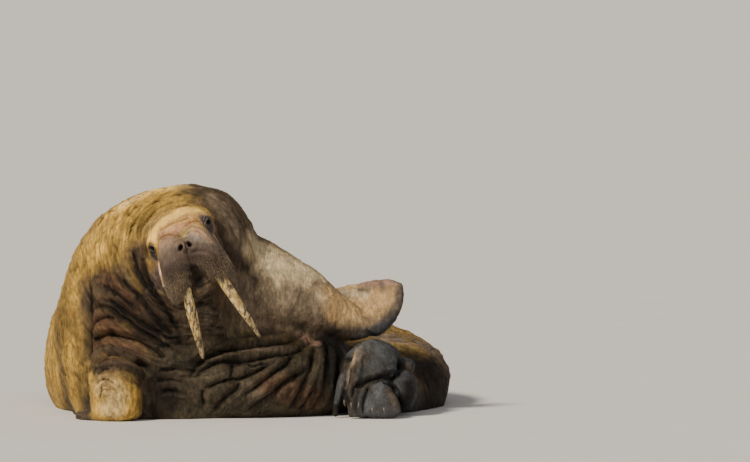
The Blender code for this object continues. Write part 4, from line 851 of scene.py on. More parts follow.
def relief(points):
    """Fine forms of old hide: ripples round the hood, upright creases on the chest, and small knobs; also
    painted shade for the bottoms of its cracks, creases and furrows.
    """
    hood, away, angle = hood_space(points)
    on_hood = step(away, 0.17, 0.24) * (1 - step(away, 0.48, 0.72)) * (1 - 0.75 * step(angle, 0.5, 1.0))
    warp = layered(points, 0.09, 2)[:, None] * 0.012
    ripple = noise(hood + warp, 0.026) + 0.5 * noise(hood + warp + 3.1, 0.013)
    cracks = hump(ripple, 0, 0.16)
    upright = noise(points * (1, 1, 0.30) + warp, 0.030) + 0.5 * noise(points * (1, 1, 0.35) + warp, 0.014)
    creases = hump(upright, 0, 0.15)
    elsewhere = (1 - on_hood) * step(away, 0.17, 0.24)
    broad = layered(points, 0.11, 3)
    knobs = np.clip(noise(points + warp, 0.020) - 0.30, 0, 1)
    move = on_hood * (0.0046 * ripple - 0.0048 * cracks)
    move += elsewhere * (0.0020 * upright - 0.0026 * creases + 0.0036 * broad)
    x, y, z = points.T
    wrinkled = elsewhere * step(z, 0.05, 0.15) * step(-x, 0.05, 0.35) * step(-y, -0.2, 0.1)
    knobbly = (on_hood + 0.5 * elsewhere + wrinkled) * 0.0050 * knobs
    move += knobbly + wrinkled * 0.003 * noise(points + warp, 0.034)
    across = noise(points * (1, 1, 0.45) + 2 * warp, 0.048)
    furrows = hump(across, 0, 0.20)
    behind = elsewhere * step(y, 0.05, 0.35) * step(z, 0.04, 0.16)
    move += behind * (0.0040 * across - 0.0042 * furrows + 0.0045 * knobs)
    # painted shade: darker in the cracks, creases and furrows
    crack_shade = on_hood * cracks * 0.65 + elsewhere * creases * (0.30 + 0.40 * wrinkled) + behind * furrows * 0.40
    return move, crack_shade


def attribute(mesh, name, values):
    kind, field = {1: ("FLOAT", "value"), 2: ("FLOAT_VECTOR", "vector")}[np.ndim(values)]
    layer = mesh.attributes.new(name, kind, "POINT")
    layer.data.foreach_set(field, np.ascontiguousarray(values, dtype=np.float32).ravel())


# Colours of the hide before light falls on it; the strokes also use some of them as painted light and shade
PAINTS = {
    "gold": (0.48, 0.292, 0.062),
    "pale gold": (0.98, 0.61, 0.15),
    "ochre": (0.225, 0.140, 0.036),
    "umber": (0.080, 0.054, 0.032),
    "dark": (0.019, 0.012, 0.008),
    "rust": (0.105, 0.050, 0.027),
    "fawn": (0.60, 0.47, 0.28),
    "taupe": (0.180, 0.132, 0.090),
    "ash": (0.300, 0.235, 0.190),
    "mauve": (0.300, 0.180, 0.130),
    "pink": (0.47, 0.250, 0.125),
    "rim": (0.76, 0.52, 0.33),
    "slate": (0.044, 0.044, 0.046),
    "steel": (0.076, 0.078, 0.081),
    "pad": (0.100, 0.070, 0.055),
    "black": (0.006, 0.0045, 0.004),
    "tan": (0.42, 0.270, 0.125),
    "brow": (0.44, 0.250, 0.090),
    "olive": (0.059, 0.046, 0.029),
}
STROKE_EDGE = 1.4  # a stroke has faded out within this many times its reach
# Brush strokes: colour, where the picture shows it, how far it reaches, and how strong it is
STROKES = [
    # Neck and hood
    ("ochre", [(122, 215), (108, 250), (98, 290)], 0.16, 0.9),
    ("ochre", [(62, 340), (70, 300), (80, 275)], 0.14, 0.95),
    ("gold", [(76, 288), (92, 250), (110, 222), (136, 199), (165, 188)], 0.13, 0.95),
    ("gold", [(140, 215), (165, 200), (190, 196), (202, 197)], 0.07, 0.85),
    # painted rim light along the top edge of the neck, in this and the next stroke
    ("pale gold", [(124, 206), (142, 195), (165, 189), (188, 187)], 0.065, 0.8),
    ("fawn", [(126, 204), (144, 193), (165, 187), (188, 185)], 0.034, 0.45),
    ("ochre", [(128, 240), (136, 225), (150, 212)], 0.045, 0.5),
    ("gold", [(120, 262), (124, 240), (132, 226)], 0.030, 0.5),
    # The dark side of the neck, up to its edge against the sky: partly darker, wet hide and partly painted
    # shade
    ("umber", [(206, 190), (222, 206), (238, 232), (246, 262), (250, 285)], 0.15, 0.97),
    ("umber", [(222, 235), (228, 262), (236, 290), (225, 310)], 0.13, 0.95),
    ("taupe", [(232, 240), (242, 262), (240, 288)], 0.045, 0.35),
    ("taupe", [(212, 198), (226, 212), (237, 232), (243, 250)], 0.050, 0.75),
    ("dark", [(226, 252), (238, 262), (250, 272)], 0.050, 0.6),
    # The dark bib below the face and its thick rolls over the limb: partly darker, wet hide and partly painted
    # shade
    ("umber", [(138, 262), (146, 285), (158, 305), (178, 318)], 0.09, 0.9),
    ("umber", [(96, 300), (104, 296), (130, 296), (155, 315), (172, 338)], 0.15, 0.97),
    # painted shade where the flap's edge turns to face forward
    ("umber", [(92, 320), (92, 345), (92, 368)], 0.055, 0.8),
    # painted shade in the creases between the diagonal rolls
    ("dark", [(120, 318), (145, 318), (165, 328), (175, 345)], 0.10, 0.75),
    ("umber", [(205, 280), (205, 300), (210, 322)], 0.12, 0.95),
    ("ochre", [(128, 258), (133, 276), (140, 290)], 0.025, 0.5),
    ("ochre", [(148, 262), (153, 278), (160, 292)], 0.022, 0.5),
    # painted shadow between the hood and the face
    ("dark", [(137, 252), (142, 268), (150, 286), (160, 302)], 0.026, 0.6),
    ("rust", [(98, 322), (118, 336), (136, 345)], 0.060, 0.7),
    ("rust", [(104, 276), (122, 291), (135, 305)], 0.045, 0.6),
    ("umber", [(96, 350), (112, 346), (128, 350), (150, 366), (156, 376)], 0.060, 0.9),
    ("rust", [(95, 345), (110, 341), (126, 345), (142, 354)], 0.018, 0.7),
    ("taupe", [(98, 356), (112, 354), (128, 357)], 0.014, 0.5),
    # painted shade under the roll over the limb and in the creases beside it, in this and the next stroke
    ("dark", [(112, 352), (130, 352), (150, 362), (168, 366)], 0.030, 0.6),
    ("dark", [(150, 335), (172, 352), (186, 366)], 0.075, 0.8),
    ("umber", [(200, 325), (215, 335), (205, 350)], 0.12, 0.9),
    ("taupe", [(205, 312), (222, 322), (240, 330)], 0.050, 0.4),
    # The flap at the left and the limb it stands beside
    # golden flank, partly painted light from the left
    ("gold", [(47, 360), (49, 390), (52, 405)], 0.20, 0.7),
    ("ochre", [(72, 330), (73, 375), (76, 402)], 0.10, 0.8),
    ("gold", [(68, 345), (70, 375), (74, 402)], 0.060, 0.9),
    # painted shade along the edge between the flank and the flap
    ("umber", [(60, 345), (61, 375), (64, 400)], 0.012, 0.5),
    ("gold", [(98, 374), (102, 392), (100, 411)], 0.090, 1.0),
    ("gold", [(122, 378), (128, 396), (124, 411)], 0.100, 1.0),
    ("ochre", [(142, 384), (141, 404)], 0.050, 0.85),
    ("fawn", [(106, 386), (114, 396), (112, 408)], 0.070, 0.38),
    # painted shade down the right side of the standing limb, in this and the next stroke
    ("taupe", [(143, 382), (144, 396), (143, 406)], 0.032, 0.65),
    ("umber", [(149, 384), (150, 398), (149, 408)], 0.030, 0.8),
    # painted shadow under the roll that hangs over the top of the standing limb, in this and the next stroke
    ("umber", [(95, 366), (108, 362), (126, 363), (142, 372), (149, 384)], 0.042, 0.97),
    ("dark", [(96, 371), (110, 367), (126, 368), (142, 376)], 0.028, 0.90),
    ("rust", [(100, 361), (112, 359), (126, 361)], 0.014, 0.6),
    # more painted shadow at the top of the standing limb
    ("umber", [(98, 377), (112, 372), (128, 375), (141, 384)], 0.034, 0.7),
    # Shoulder and raised limb
    ("taupe", [(242, 292), (260, 312), (272, 330)], 0.11, 0.85),
    ("fawn", [(262, 248), (282, 260), (306, 274), (326, 288)], 0.075, 0.55),
    ("fawn", [(268, 256), (284, 270), (300, 288)], 0.16, 0.80),
    ("taupe", [(262, 276), (272, 292), (276, 306)], 0.045, 0.5),
    ("mauve", [(288, 286), (300, 292), (310, 300)], 0.040, 0.45),
    ("taupe", [(296, 305), (318, 322)], 0.11, 0.9),
    ("taupe", [(318, 284), (334, 290), (344, 294)], 0.050, 0.7),
    # painted shadow under the raised limb, in this and the next stroke
    ("umber", [(322, 332), (342, 340)], 0.07, 0.85),
    ("umber", [(300, 330), (330, 338), (360, 336)], 0.035, 0.7),
    # Belly: its own olive hide, partly painted shade under the overhanging chest
    ("olive", [(185, 385), (215, 375), (250, 370), (290, 372), (325, 370)], 0.24, 0.97),
    ("olive", [(190, 405), (250, 408), (310, 405)], 0.12, 0.97),
    ("rust", [(268, 382), (300, 392), (318, 398)], 0.070, 0.45),
    ("taupe", [(225, 372), (245, 382), (262, 396)], 0.030, 0.35),
    # painted shadow where the belly turns away behind the hind flipper
    ("black", [(324, 342), (336, 350), (340, 372), (336, 400)], 0.080, 0.95),
    ("taupe", [(214, 355), (235, 351), (258, 349), (290, 349)], 0.020, 0.8),
    ("mauve", [(302, 336), (313, 341)], 0.035, 0.7),
    # painted shade between the standing limb and the belly
    ("dark", [(158, 380), (166, 398), (162, 412)], 0.060, 0.9),
    # The raised hand
    ("tan", [(338, 300), (352, 306), (372, 306), (386, 300)], 0.095, 1.0),
    ("fawn", [(340, 290), (352, 292), (364, 296)], 0.030, 0.5),
    ("tan", [(330, 290), (344, 286), (356, 284)], 0.045, 0.9),
    ("mauve", [(344, 285), (362, 282), (382, 281), (394, 280)], 0.030, 0.75),
    ("slate", [(374, 334), (387, 320), (397, 306), (401, 293)], 0.034, 0.80),
    ("slate", [(381, 284), (383, 289)], 0.016, 0.6),
    ("rim", [(353, 284), (356, 291), (357, 296)], 0.006, 0.75),
    ("rim", [(339, 294), (346, 297)], 0.006, 0.6),
    ("rim", [(371, 286), (372, 292)], 0.005, 0.5),
    # Hind flippers and rump
    # painted highlight along the top of the upper hind flipper
    ("steel", [(352, 350), (362, 343), (374, 344), (386, 352)], 0.050, 0.8),
    # paler stripe along the digit's ridge, partly painted highlight
    ("ash", [(357, 350), (351, 364), (347, 384)], 0.030, 0.5),
    ("tan", [(354, 354), (351, 366)], 0.016, 0.4),
    ("steel", [(342, 376), (338, 388), (336, 398)], 0.026, 0.6),
    ("steel", [(380, 386), (374, 396), (368, 408)], 0.030, 0.6),
    ("umber", [(390, 390), (396, 402)], 0.035, 0.5),
    ("slate", [(372, 364), (362, 374), (360, 380)], 0.030, 0.7),
    ("olive", [(402, 366), (412, 371)], 0.035, 0.7),
    ("slate", [(400, 380), (408, 384)], 0.030, 0.8),
    # painted shadow between the heel and the rump
    ("black", [(410, 388), (412, 396), (404, 404)], 0.050, 0.85),
    # painted shade in the crease between the hind flippers and in the gaps between the toes, in this and the
    # next stroke
    ("black", [(352, 391), (362, 384), (378, 380), (398, 377)], 0.014, 0.8),
    ("black", [(358, 388), (356, 400), (356, 412)], 0.012, 0.7),
    # the rump in painted shade, taupe above and dark lower down, with a thin painted rim light along its top
    # edge
    ("taupe", [(394, 338), (412, 341), (432, 348), (448, 362)], 0.095, 0.97),
    ("ochre", [(392, 331), (404, 337), (416, 344)], 0.026, 0.7),
    ("taupe", [(432, 352), (444, 366), (450, 384)], 0.060, 0.8),
    ("dark", [(420, 370), (436, 376), (446, 392), (432, 404)], 0.13, 0.95),
    # Face
    ("umber", [(197, 268), (200, 285), (204, 300)], 0.075, 0.95),
    ("taupe", [(165, 258), (186, 248), (212, 244), (218, 256)], 0.100, 0.9),
    ("ash", [(192, 236), (202, 239), (212, 247), (198, 246)], 0.050, 0.75),
    ("gold", [(152, 246), (156, 236), (168, 227), (184, 219), (200, 218)], 0.060, 0.8),
    # pale gold forehead: its pale hide, brightened further as painted light
    ("pale gold", [(151, 240), (158, 228), (169, 219), (183, 212), (198, 212)], 0.048, 0.74),
    ("brow", [(164, 232), (176, 224), (190, 219), (202, 221)], 0.044, 0.90),
    ("mauve", [(160, 238), (176, 231), (190, 226)], 0.030, 0.5),
    ("pink", [(164, 236), (178, 229), (192, 223)], 0.024, 0.5),
    ("mauve", [(160, 246), (165, 240), (174, 238)], 0.034, 0.85),
    # painted shade in the fold along the top of the muzzle
    ("umber", [(163, 239), (171, 236.5), (178, 238)], 0.010, 0.5),
    ("pink", [(193, 232), (202, 233), (211, 243)], 0.024, 0.5),
    # painted shade in the wrinkles above and between the nostrils, in this and the next stroke
    ("umber", [(176, 240), (184, 240), (190, 238)], 0.026, 0.5),
    ("umber", [(180, 242), (184, 248), (188, 253)], 0.026, 0.65),
    ("pad", [(162, 280), (168, 266), (180, 256), (204, 252), (222, 258)], 0.072, 0.95),
    ("dark", [(170, 274), (184, 264), (204, 262), (220, 266)], 0.050, 0.55),
    # painted shadow in the mouth between the whisker pads
    ("black", [(193, 271), (197, 277), (200, 284)], 0.036, 0.9),
    ("rim", [(158, 255), (159, 266), (161, 276), (163.5, 286)], 0.0050, 0.85),
    ("rim", [(211, 232), (217, 240), (222, 249)], 0.0065, 0.8),
    ("umber", [(150, 245), (153, 253), (155, 258)], 0.030, 0.7),
    ("slate", [(151, 248), (154, 256)], 0.024, 0.85),
    ("mauve", [(205, 216), (211, 230)], 0.042, 0.6),
    ("slate", [(206, 219), (210, 229)], 0.031, 0.88),
    ("olive", [(200, 298), (206, 306)], 0.060, 0.8),
    ("taupe", [(190, 292), (199, 296), (208, 290)], 0.008, 0.7),
    ("taupe", [(200, 306), (206, 318)], 0.060, 0.5),
]


def ground_colours(points, normals):
    """The hide before the brush strokes: ochre and lighter where it faces up, as painted light from above;
    darker low down, partly painted shade; slate on the hind flippers.
    """
    # painted light: hide that faces up is made lighter
    above = step(normals[:, 2] + 0.4 * layered(points, 0.14, 2), -0.35, 0.75)
    height = step(points[:, 2] + 0.05 * layered(points, 0.20, 2), 0.08, 0.55)
    low, mid, high = (np.array(PAINTS[name]) for name in ("olive", "umber", "ochre"))
    # darker and olive low down: partly the hide's own colour, partly painted shade under the body
    colour = low + (mid * 2.2 - low) * height[:, None]
    colour += (high * 1.35 - colour) * (above * (0.35 + 0.65 * height))[:, None]
    x, y, z = points.T
    arm = step(x, -0.10, 0.05) * step(z, 0.33, 0.42) * (1 - step(y, 0.15, 0.35)) * (1 - step(z, 0.70, 0.80))
    colour += (np.array(PAINTS["fawn"]) * 0.6 - colour) * (0.75 * arm)[:, None]
    # darker umber on the +X side of the upper neck: partly darker, wet hide and partly painted shade
    shaded = step(x, -0.12, 0.02) * step(z, 0.66, 0.78) * (1 - step(y, 0.15, 0.30))
    colour += (mid * 1.3 - colour) * (0.8 * shaded)[:, None]
    # gold on the low -X flank: its golden hide, partly painted light from the left
    flank = step(-x, 0.40, 0.75) * step(z + 0.06 * layered(points, 0.16, 2), 0.0, 0.30)
    colour += (np.array(PAINTS["gold"]) * 0.85 - colour) * (0.75 * flank)[:, None]
    hind = step(x, 0.40, 0.46) * (1 - step(y, 0.06, 0.16)) * (1 - step(z, 0.36, 0.39))
    hand = step(x, 0.44, 0.50) * step(z, 0.33, 0.37) * (1 - step(y, 0.16, 0.26))
    floor_hand = step(-x, 0.50, 0.56) * (1 - step(z, 0.05, 0.08)) * (1 - step(y, -0.15, -0.05))
    bare = np.maximum(np.maximum(hind, hand), floor_hand)
    colour += (np.array(PAINTS["slate"]) - colour) * bare[:, None]
    colour += (mid - colour) * (0.9 * floor_hand)[:, None]
    return colour, bare


def painted(obj, lines):
    points, normals = coordinates(obj.data), normals_of(obj.data)
    colour, bare = ground_colours(points, normals)
    wander = layered(points, 0.06, 3)
    for (name, _, reach, strength), line in zip(STROKES, lines):
        near = beside(line, points, STROKE_EDGE * reach)
        away = np.linalg.norm(points[near, None] - line[None], axis=2).min(1)
        weight = strength * (1 - step(away / reach + 0.25 * wander[near], 0.45, 1.15))
        colour[near] += (np.array(PAINTS[name]) - colour[near]) * weight[:, None]
    return np.clip(colour, 0.004, 1), bare


def whisker_pad(local):
    """1 on the two dotted pads that carry the bristles, 0 off them."""
    x, z = np.abs(local[:, 0]), local[:, 2]
    below_nose = 1 - step(z + 0.35 * (0.05 - x), -0.070, -0.035)
    return step(-local[:, 1], 0.03, 0.08) * below_nose * step(z, -0.235, -0.215)


def walrus_skin():
    masses = body_masses()
    blubber = fuse("blubber", masses["blubber"], BODY_VOXEL, 8)
    head = fuse("head_form", head_masses(), HEAD_VOXEL, 5)
    skin = fuse("skin", [blubber, head, *masses["limbs"]], SKIN_VOXEL, 5)
    soften(skin, WRIST, 0.20, 22)
    soften(skin, PALM_HEEL, 0.12, 34)
    refine_face(skin)
    soften(skin, head_matrix() @ FACE_MIDDLE, 0.36, 3)
    tree = search_tree(skin)
    lines = [on_skin(tree, outline, 8) for _, outline, _, _ in STROKES]
    # painted shade along the bottoms of the folds
    groove = press_folds(skin, FOLDS)
    # painted shade inside the nostrils, kept as the hollow attribute
    hollow = face_features(skin)
    points, normals = coordinates(skin.data), normals_of(skin.data)
    move, crack_shade = relief(points)
    points += normals * move[:, None]
    points[:, 2] = np.maximum(points[:, 2], 0)
    place_points(skin.data, points)
    # painted shade in the folds and cracks, for the hide's finish
    attribute(skin.data, "crease_shade", groove + crack_shade)
    attribute(skin.data, "hollow", hollow)
    thin_out(skin, HEAD_TRIANGLES, BODY_TRIANGLES)
    colour, bare = painted(skin, lines)
    points = coordinates(skin.data)
    hood, away, angle = hood_space(points)
    # the painted hide colour, its painted light and shade included
    attribute(skin.data, "tint", colour)
    attribute(skin.data, "bare", bare)
    attribute(skin.data, "lie", hood)
    on_hood = step(away, 0.17, 0.24) * (1 - step(away, 0.45, 0.75)) * (1 - step(np.abs(angle), 2.0, 2.6))
    attribute(skin.data, "hood", on_hood)
    attribute(skin.data, "pad", whisker_pad(head_axes(points)))
    attribute(skin.data, "face", 1 - step(from_face(points), 0.17, 0.21))
    return skin


class Value:
    """A node's output that Python's operators work on, each adding a Math node."""

    def __init__(self, nodes, socket):
        self.nodes, self.socket = nodes, socket

    def __add__(self, other):
        return self.nodes.math("ADD", self, other)

    __radd__ = __add__

    def __sub__(self, other):
        return self.nodes.math("SUBTRACT", self, other)

    def __rsub__(self, other):
        return self.nodes.math("SUBTRACT", other, self)

    def __mul__(self, other):
        return self.nodes.math("MULTIPLY", self, other)

    __rmul__ = __mul__

    def __pow__(self, other):
        return self.nodes.math("POWER", self, other)


class Nodes:
    """A node tree under construction."""

    def __init__(self, tree):
        self.tree = tree

    def put(self, value, socket):
        if isinstance(value, Value):
            self.tree.links.new(value.socket, socket)
        else:
            socket.default_value = value

    def node(self, kind, settings=None, inputs=None, output=0):
        """Adds a node: settings are its own properties, inputs its sockets by identifier, name or place."""
        node = self.tree.nodes.new(kind)
        for name, value in (settings or {}).items():
            setattr(node, name, value)
        for name, value in (inputs or {}).items():
            if isinstance(name, int):
                socket = node.inputs[name]
            else:
                matches = [s for s in node.inputs if s.identifier == name] or [node.inputs[name]]
                socket = matches[0]
            self.put(value, socket)
        return Value(self, node.outputs[output])

    def math(self, operation, *values):
        return self.node("ShaderNodeMath", {"operation": operation}, dict(enumerate(values)))

    def clamp(self, value, low, high, to_low=0.0, to_high=1.0):
        """The value's place between low and high, eased and read as to_low to to_high."""
        limits = {"From Min": low, "From Max": high, "To Min": to_low, "To Max": to_high}
        return self.node("ShaderNodeMapRange", {"interpolation_type": "SMOOTHSTEP"}, {"Value": value, **limits})

    def blend(self, factor, a, b, how="MIX"):
        return self.node("ShaderNodeMix", {"data_type": "RGBA", "blend_type": how},
                         {"Factor_Float": factor, "A_Color": a, "B_Color": b}, output=2)

    def noise(self, where, scale, detail=3.0, roughness=0.55):
        return self.node("ShaderNodeTexNoise", {},
                         {"Vector": where, "Scale": scale, "Detail": detail, "Roughness": roughness})

    def cells(self, where, scale):
        return self.node("ShaderNodeTexVoronoi", {}, {"Vector": where, "Scale": scale})

    def stretched(self, where, scale, turn=(0, 0, 0)):
        return self.node("ShaderNodeMapping", {}, {"Vector": where, "Scale": scale, "Rotation": turn})

    def grey(self, level):
        return self.node("ShaderNodeCombineColor", {}, {0: level, 1: level, 2: level})

    def read(self, name, output=2):
        return self.node("ShaderNodeAttribute", {"attribute_name": name}, output=output)

    def here(self):
        return self.node("ShaderNodeTexCoord", output=3)


class Finish(Nodes):
    """A material whose shader is filled in from Python."""

    def __init__(self, name, constants=None):
        self.material = bpy.data.materials.new(name)
        self.material.use_nodes = True
        super().__init__(self.material.node_tree)
        self.shader = self.tree.nodes["Principled BSDF"]
        self.set(constants or {})

    def set(self, values):
        for name, value in values.items():
            self.put(value, self.shader.inputs[name])

    def bump(self, height, distance, strength=1.0):
        return self.node("ShaderNodeBump", {}, {"Height": height, "Distance": distance, "Strength": strength})


HIDE_SHINE = 0.14
RUDDY = (1.12, 0.90, 0.76, 1)
IVORY_PALE = (0.70, 0.53, 0.24, 1)
IVORY_YELLOW = (0.42, 0.27, 0.085, 1)
IVORY_TIP = (0.17, 0.125, 0.075, 1)
IVORY_LINES = (0.22, 0.115, 0.035, 1)
IVORY_STAIN = (0.030, 0.017, 0.009, 1)
IVORY_CRACK = (0.012, 0.008, 0.005, 1)
TUSK_LEAN = (0, 0.42, 0)  # turns the grain of the ivory to lie along the tusks
PUPIL = (0.0008, 0.0006, 0.0006, 1)
IRIS = (0.006, 0.0035, 0.0025, 1)
EYE_WHITE = (0.07, 0.035, 0.026, 1)
NAIL_DARK, NAIL_PALE = (0.035, 0.028, 0.022, 1), (0.115, 0.090, 0.066, 1)
BRISTLE_DARK, BRISTLE_PALE = (0.050, 0.033, 0.021, 1), (0.27, 0.195, 0.120, 1)
FLOOR_DARK, FLOOR_PALE = (0.60, 0.575, 0.55, 1), (0.66, 0.635, 0.61, 1)


def hide_finish():
    f = Finish("hide", {"Specular IOR Level": HIDE_SHINE})
    here = f.here()
    tint = f.read("tint", output=0)
    crease_shade, bare, hood, face, hollow, pad = (
        f.read(name) for name in ("crease_shade", "bare", "hood", "face", "hollow", "pad"))
    lie = f.read("lie", output=1)
    wavy = f.node("ShaderNodeVectorMath", {"operation": "MULTIPLY_ADD"},
                  {0: f.noise(here, 14, 2), 1: (0.016, 0.016, 0.016), 2: here})
    streaks_round = f.noise(f.stretched(lie, (1, 0.75, 0.5)), 130, 4, 0.62)
    streaks_down = f.noise(f.stretched(wavy, (1, 1, 0.36), (0.1, 0.35, 0)), 85, 4, 0.62)
    streaks = hood * streaks_round + (1 - hood) * streaks_down
    mottle = f.noise(wavy, 22, 5, 0.66)
    blotch = f.noise(here, 7, 3, 0.55)
    light = f.clamp(mottle, 0.36, 0.64, 0.74, 1.20) * f.clamp(streaks, 0.38, 0.62, 0.74, 1.22)
    light = light * f.clamp(blotch, 0.3, 0.7, 0.80, 1.15)
    quiet = 1 - 0.35 * face - 0.30 * bare
    light = 1 + (light - 1) * quiet
    wrinkle = f.clamp(f.math("ABSOLUTE", f.noise(wavy, 60, 3, 0.6) - 0.5), 0.0, 0.030)
    small = f.clamp(f.math("ABSOLUTE", f.noise(wavy, 170, 2, 0.6) - 0.5), 0.0, 0.04)
    # painted shade: darker in the folds, cracks and fine wrinkles
    shade = (1 - 0.88 * f.math("MINIMUM", crease_shade, 1.0)) * light * (0.90 + 0.10 * wrinkle)
    # painted shade inside the nostrils
    shade = shade * (1 - 0.96 * hollow)
    dots = f.clamp(f.cells(here, 210), 0.16, 0.40, 1.0, 0.0)
    shade = shade * (1 + pad * (1.1 * dots - 0.20))
    base = f.blend(1.0, tint, f.grey(shade), "MULTIPLY")
    warm = f.clamp(f.noise(here, 17, 3), 0.52, 0.72, 0.0, 0.5) * (1 - bare)
    base = f.blend(warm, base, f.blend(1.0, base, RUDDY, "MULTIPLY"))
    f.set({"Base Color": base, "Roughness": f.clamp(mottle, 0.3, 0.7, 0.50, 0.72)})
    pebble = f.cells(wavy, 300)
    hairs = f.noise(f.stretched(wavy, (1, 1, 0.16), (0.1, 0.35, 0)), 520, 2)
    height = wrinkle * 0.26 + small * 0.14 + mottle * 1.0 + streaks * 1.2 + hairs * 0.34 - pebble * 0.34
    height = height * (1 - 0.55 * face) * (1 - 0.35 * bare) + pad * dots * 0.35
    f.set({"Normal": f.bump(height, 0.0040, 0.9)})
    return f.material


def tusk_finish():
    f = Finish("ivory", {"IOR": 1.54})
    here = f.here()
    along, crack = f.read("along"), f.read("crack")
    grain = f.noise(f.stretched(here, (1, 1, 0.12), TUSK_LEAN), 240, 3, 0.6)
    blotch = f.noise(here, 26, 5, 0.65)
    drip = f.noise(f.stretched(here, (1, 1, 0.30), TUSK_LEAN), 75, 4, 0.65)
    lines = f.clamp(grain, 0.52, 0.64)
    stain = f.clamp(drip + 0.14 * blotch + 0.035 * f.clamp(along, 0.55, 0.85), 0.595, 0.66)
    cream = f.blend(f.clamp(blotch, 0.38, 0.62), IVORY_PALE, IVORY_YELLOW)
    base = f.blend(f.clamp(along, 0.62, 1.0, 0, 0.80), cream, IVORY_TIP)
    base = f.blend(lines * 0.60, base, IVORY_LINES)
    base = f.blend(stain * 0.92, base, IVORY_STAIN)
    base = f.blend(crack, base, IVORY_CRACK)
    f.set({"Base Color": base, "Roughness": f.clamp(blotch, 0.3, 0.7, 0.30, 0.50),
           "Normal": f.bump(grain - lines * 0.6 - stain * 0.5, 0.0014, 0.9)})
    return f.material


def eye_finish():
    f = Finish("eye", {"IOR": 1.34, "Specular IOR Level": 0.30})
    centre = f.read("pupil")
    iris = f.blend(f.clamp(centre, 0.42, 0.56), PUPIL, IRIS)
    f.set({"Base Color": f.blend(f.clamp(centre, 0.86, 0.98), iris, EYE_WHITE), "Roughness": 0.05})
    return f.material


def nail_finish():
    f = Finish("nail")
    growth = f.noise(f.here(), 300, 2)
    f.set({"Base Color": f.blend(growth, NAIL_DARK, NAIL_PALE), "Roughness": 0.42,
           "Normal": f.bump(growth, 0.0006)})
    return f.material


def whisker_finish():
    f = Finish("bristle")
    here = f.here()
    tone = f.noise(here, 140, 2)
    f.set({"Base Color": f.blend(f.clamp(tone, 0.35, 0.65), BRISTLE_DARK, BRISTLE_PALE),
           "Roughness": 0.38, "Normal": f.bump(f.noise(here, 900, 1), 0.0002)})
    return f.material


def coat_finish():
    f = Finish("coat", {"Specular IOR Level": HIDE_SHINE})
    here = f.here()
    tone = f.clamp(f.noise(here, 160, 2), 0.3, 0.7, 0.75, 1.35)
    f.set({"Base Color": f.blend(1.0, f.read("tint", output=0), f.grey(tone), "MULTIPLY"), "Roughness": 0.55,
           "Normal": f.bump(f.noise(here, 800, 1), 0.0002)})
    return f.material


def eye(name, side, material):
    """A ball with a bulging cornea; each point knows how far it lies from the middle of the pupil."""
    bpy.ops.mesh.primitive_ico_sphere_add(subdivisions=5, radius=1.0)
    obj = bpy.context.object
    obj.name = name
    look = np.array(EYE_LOOK) * (side, 1, 1)
    points = coordinates(obj.data)
    ahead = points @ unit(look)
    off_axis = np.sqrt(np.clip(1 - ahead**2, 0, 1)) + (ahead < 0)
    bulge = 1 + CORNEA_RISE * np.exp(-((off_axis / CORNEA_REACH) ** 4))
    points = points * (EYE_RADIUS * bulge)[:, None] + np.array(EYE_CENTRE) * (side, 1, 1)
    obj.data.vertices.foreach_set("co", points.ravel())
    attribute(obj.data, "pupil", off_axis)
    obj.data.transform(head_matrix())
    return finished(obj, material)


def finished(obj, material):
    """In its place under the origin, with its finish."""
    obj.data.transform(Matrix.Translation(-FOOTPRINT_MIDDLE))
    obj.data.materials.clear()
    obj.data.materials.append(material)
    obj.data.shade_smooth()
    return obj


def tusk(name, stations, seed, material):
    obj = tube(name, stations, (1, 0, 0), steps=16, power=2.0, round_ends=(0.6, 0.9), count=40)
    points, normals = coordinates(obj.data), normals_of(obj.data)
    top, bottom = stations[0][2], stations[-1][2]
    along = (points[:, 2] - top) / (bottom - top)
    middle = np.stack([np.interp(-points[:, 2], [-s[2] for s in stations], [s[k] for s in stations])
                       for k in (0, 1)], axis=1)
    angle = np.arctan2(points[:, 1] - middle[:, 1], points[:, 0] - middle[:, 0])
    round_it = np.stack([np.cos(angle) * 0.02, np.sin(angle) * 0.02, points[:, 2] * 0.16], axis=1) + seed
    flutes = noise(round_it, 0.008)
    crack = hump(noise(round_it + 2.2, 0.011), 0, 0.055)
    crack *= step(along, 0.22, 0.30) * (1 - step(along, 0.75, 0.9))
    move = 0.0007 * flutes - 0.0022 * crack + 0.0006 * noise(points + seed, 0.02)
    points += normals * move[:, None]
    obj.data.vertices.foreach_set("co", points.ravel())
    attribute(obj.data, "along", np.clip(along, 0, 1))
    attribute(obj.data, "crack", crack)
    obj.data.transform(head_matrix())
    return finished(obj, material)


# Nails of the hind flippers: where the picture shows each, and the way it points
TOE_NAILS = [
    ((344, 402), (-0.3, -0.5, -0.7)),
    ((351, 404), (-0.1, -0.5, -0.7)),
    ((359, 404), (0.0, -0.6, -0.5)),
    ((372, 409), (0.0, -0.6, -0.5)),
    ((384, 409), (0.1, -0.6, -0.5)),
]
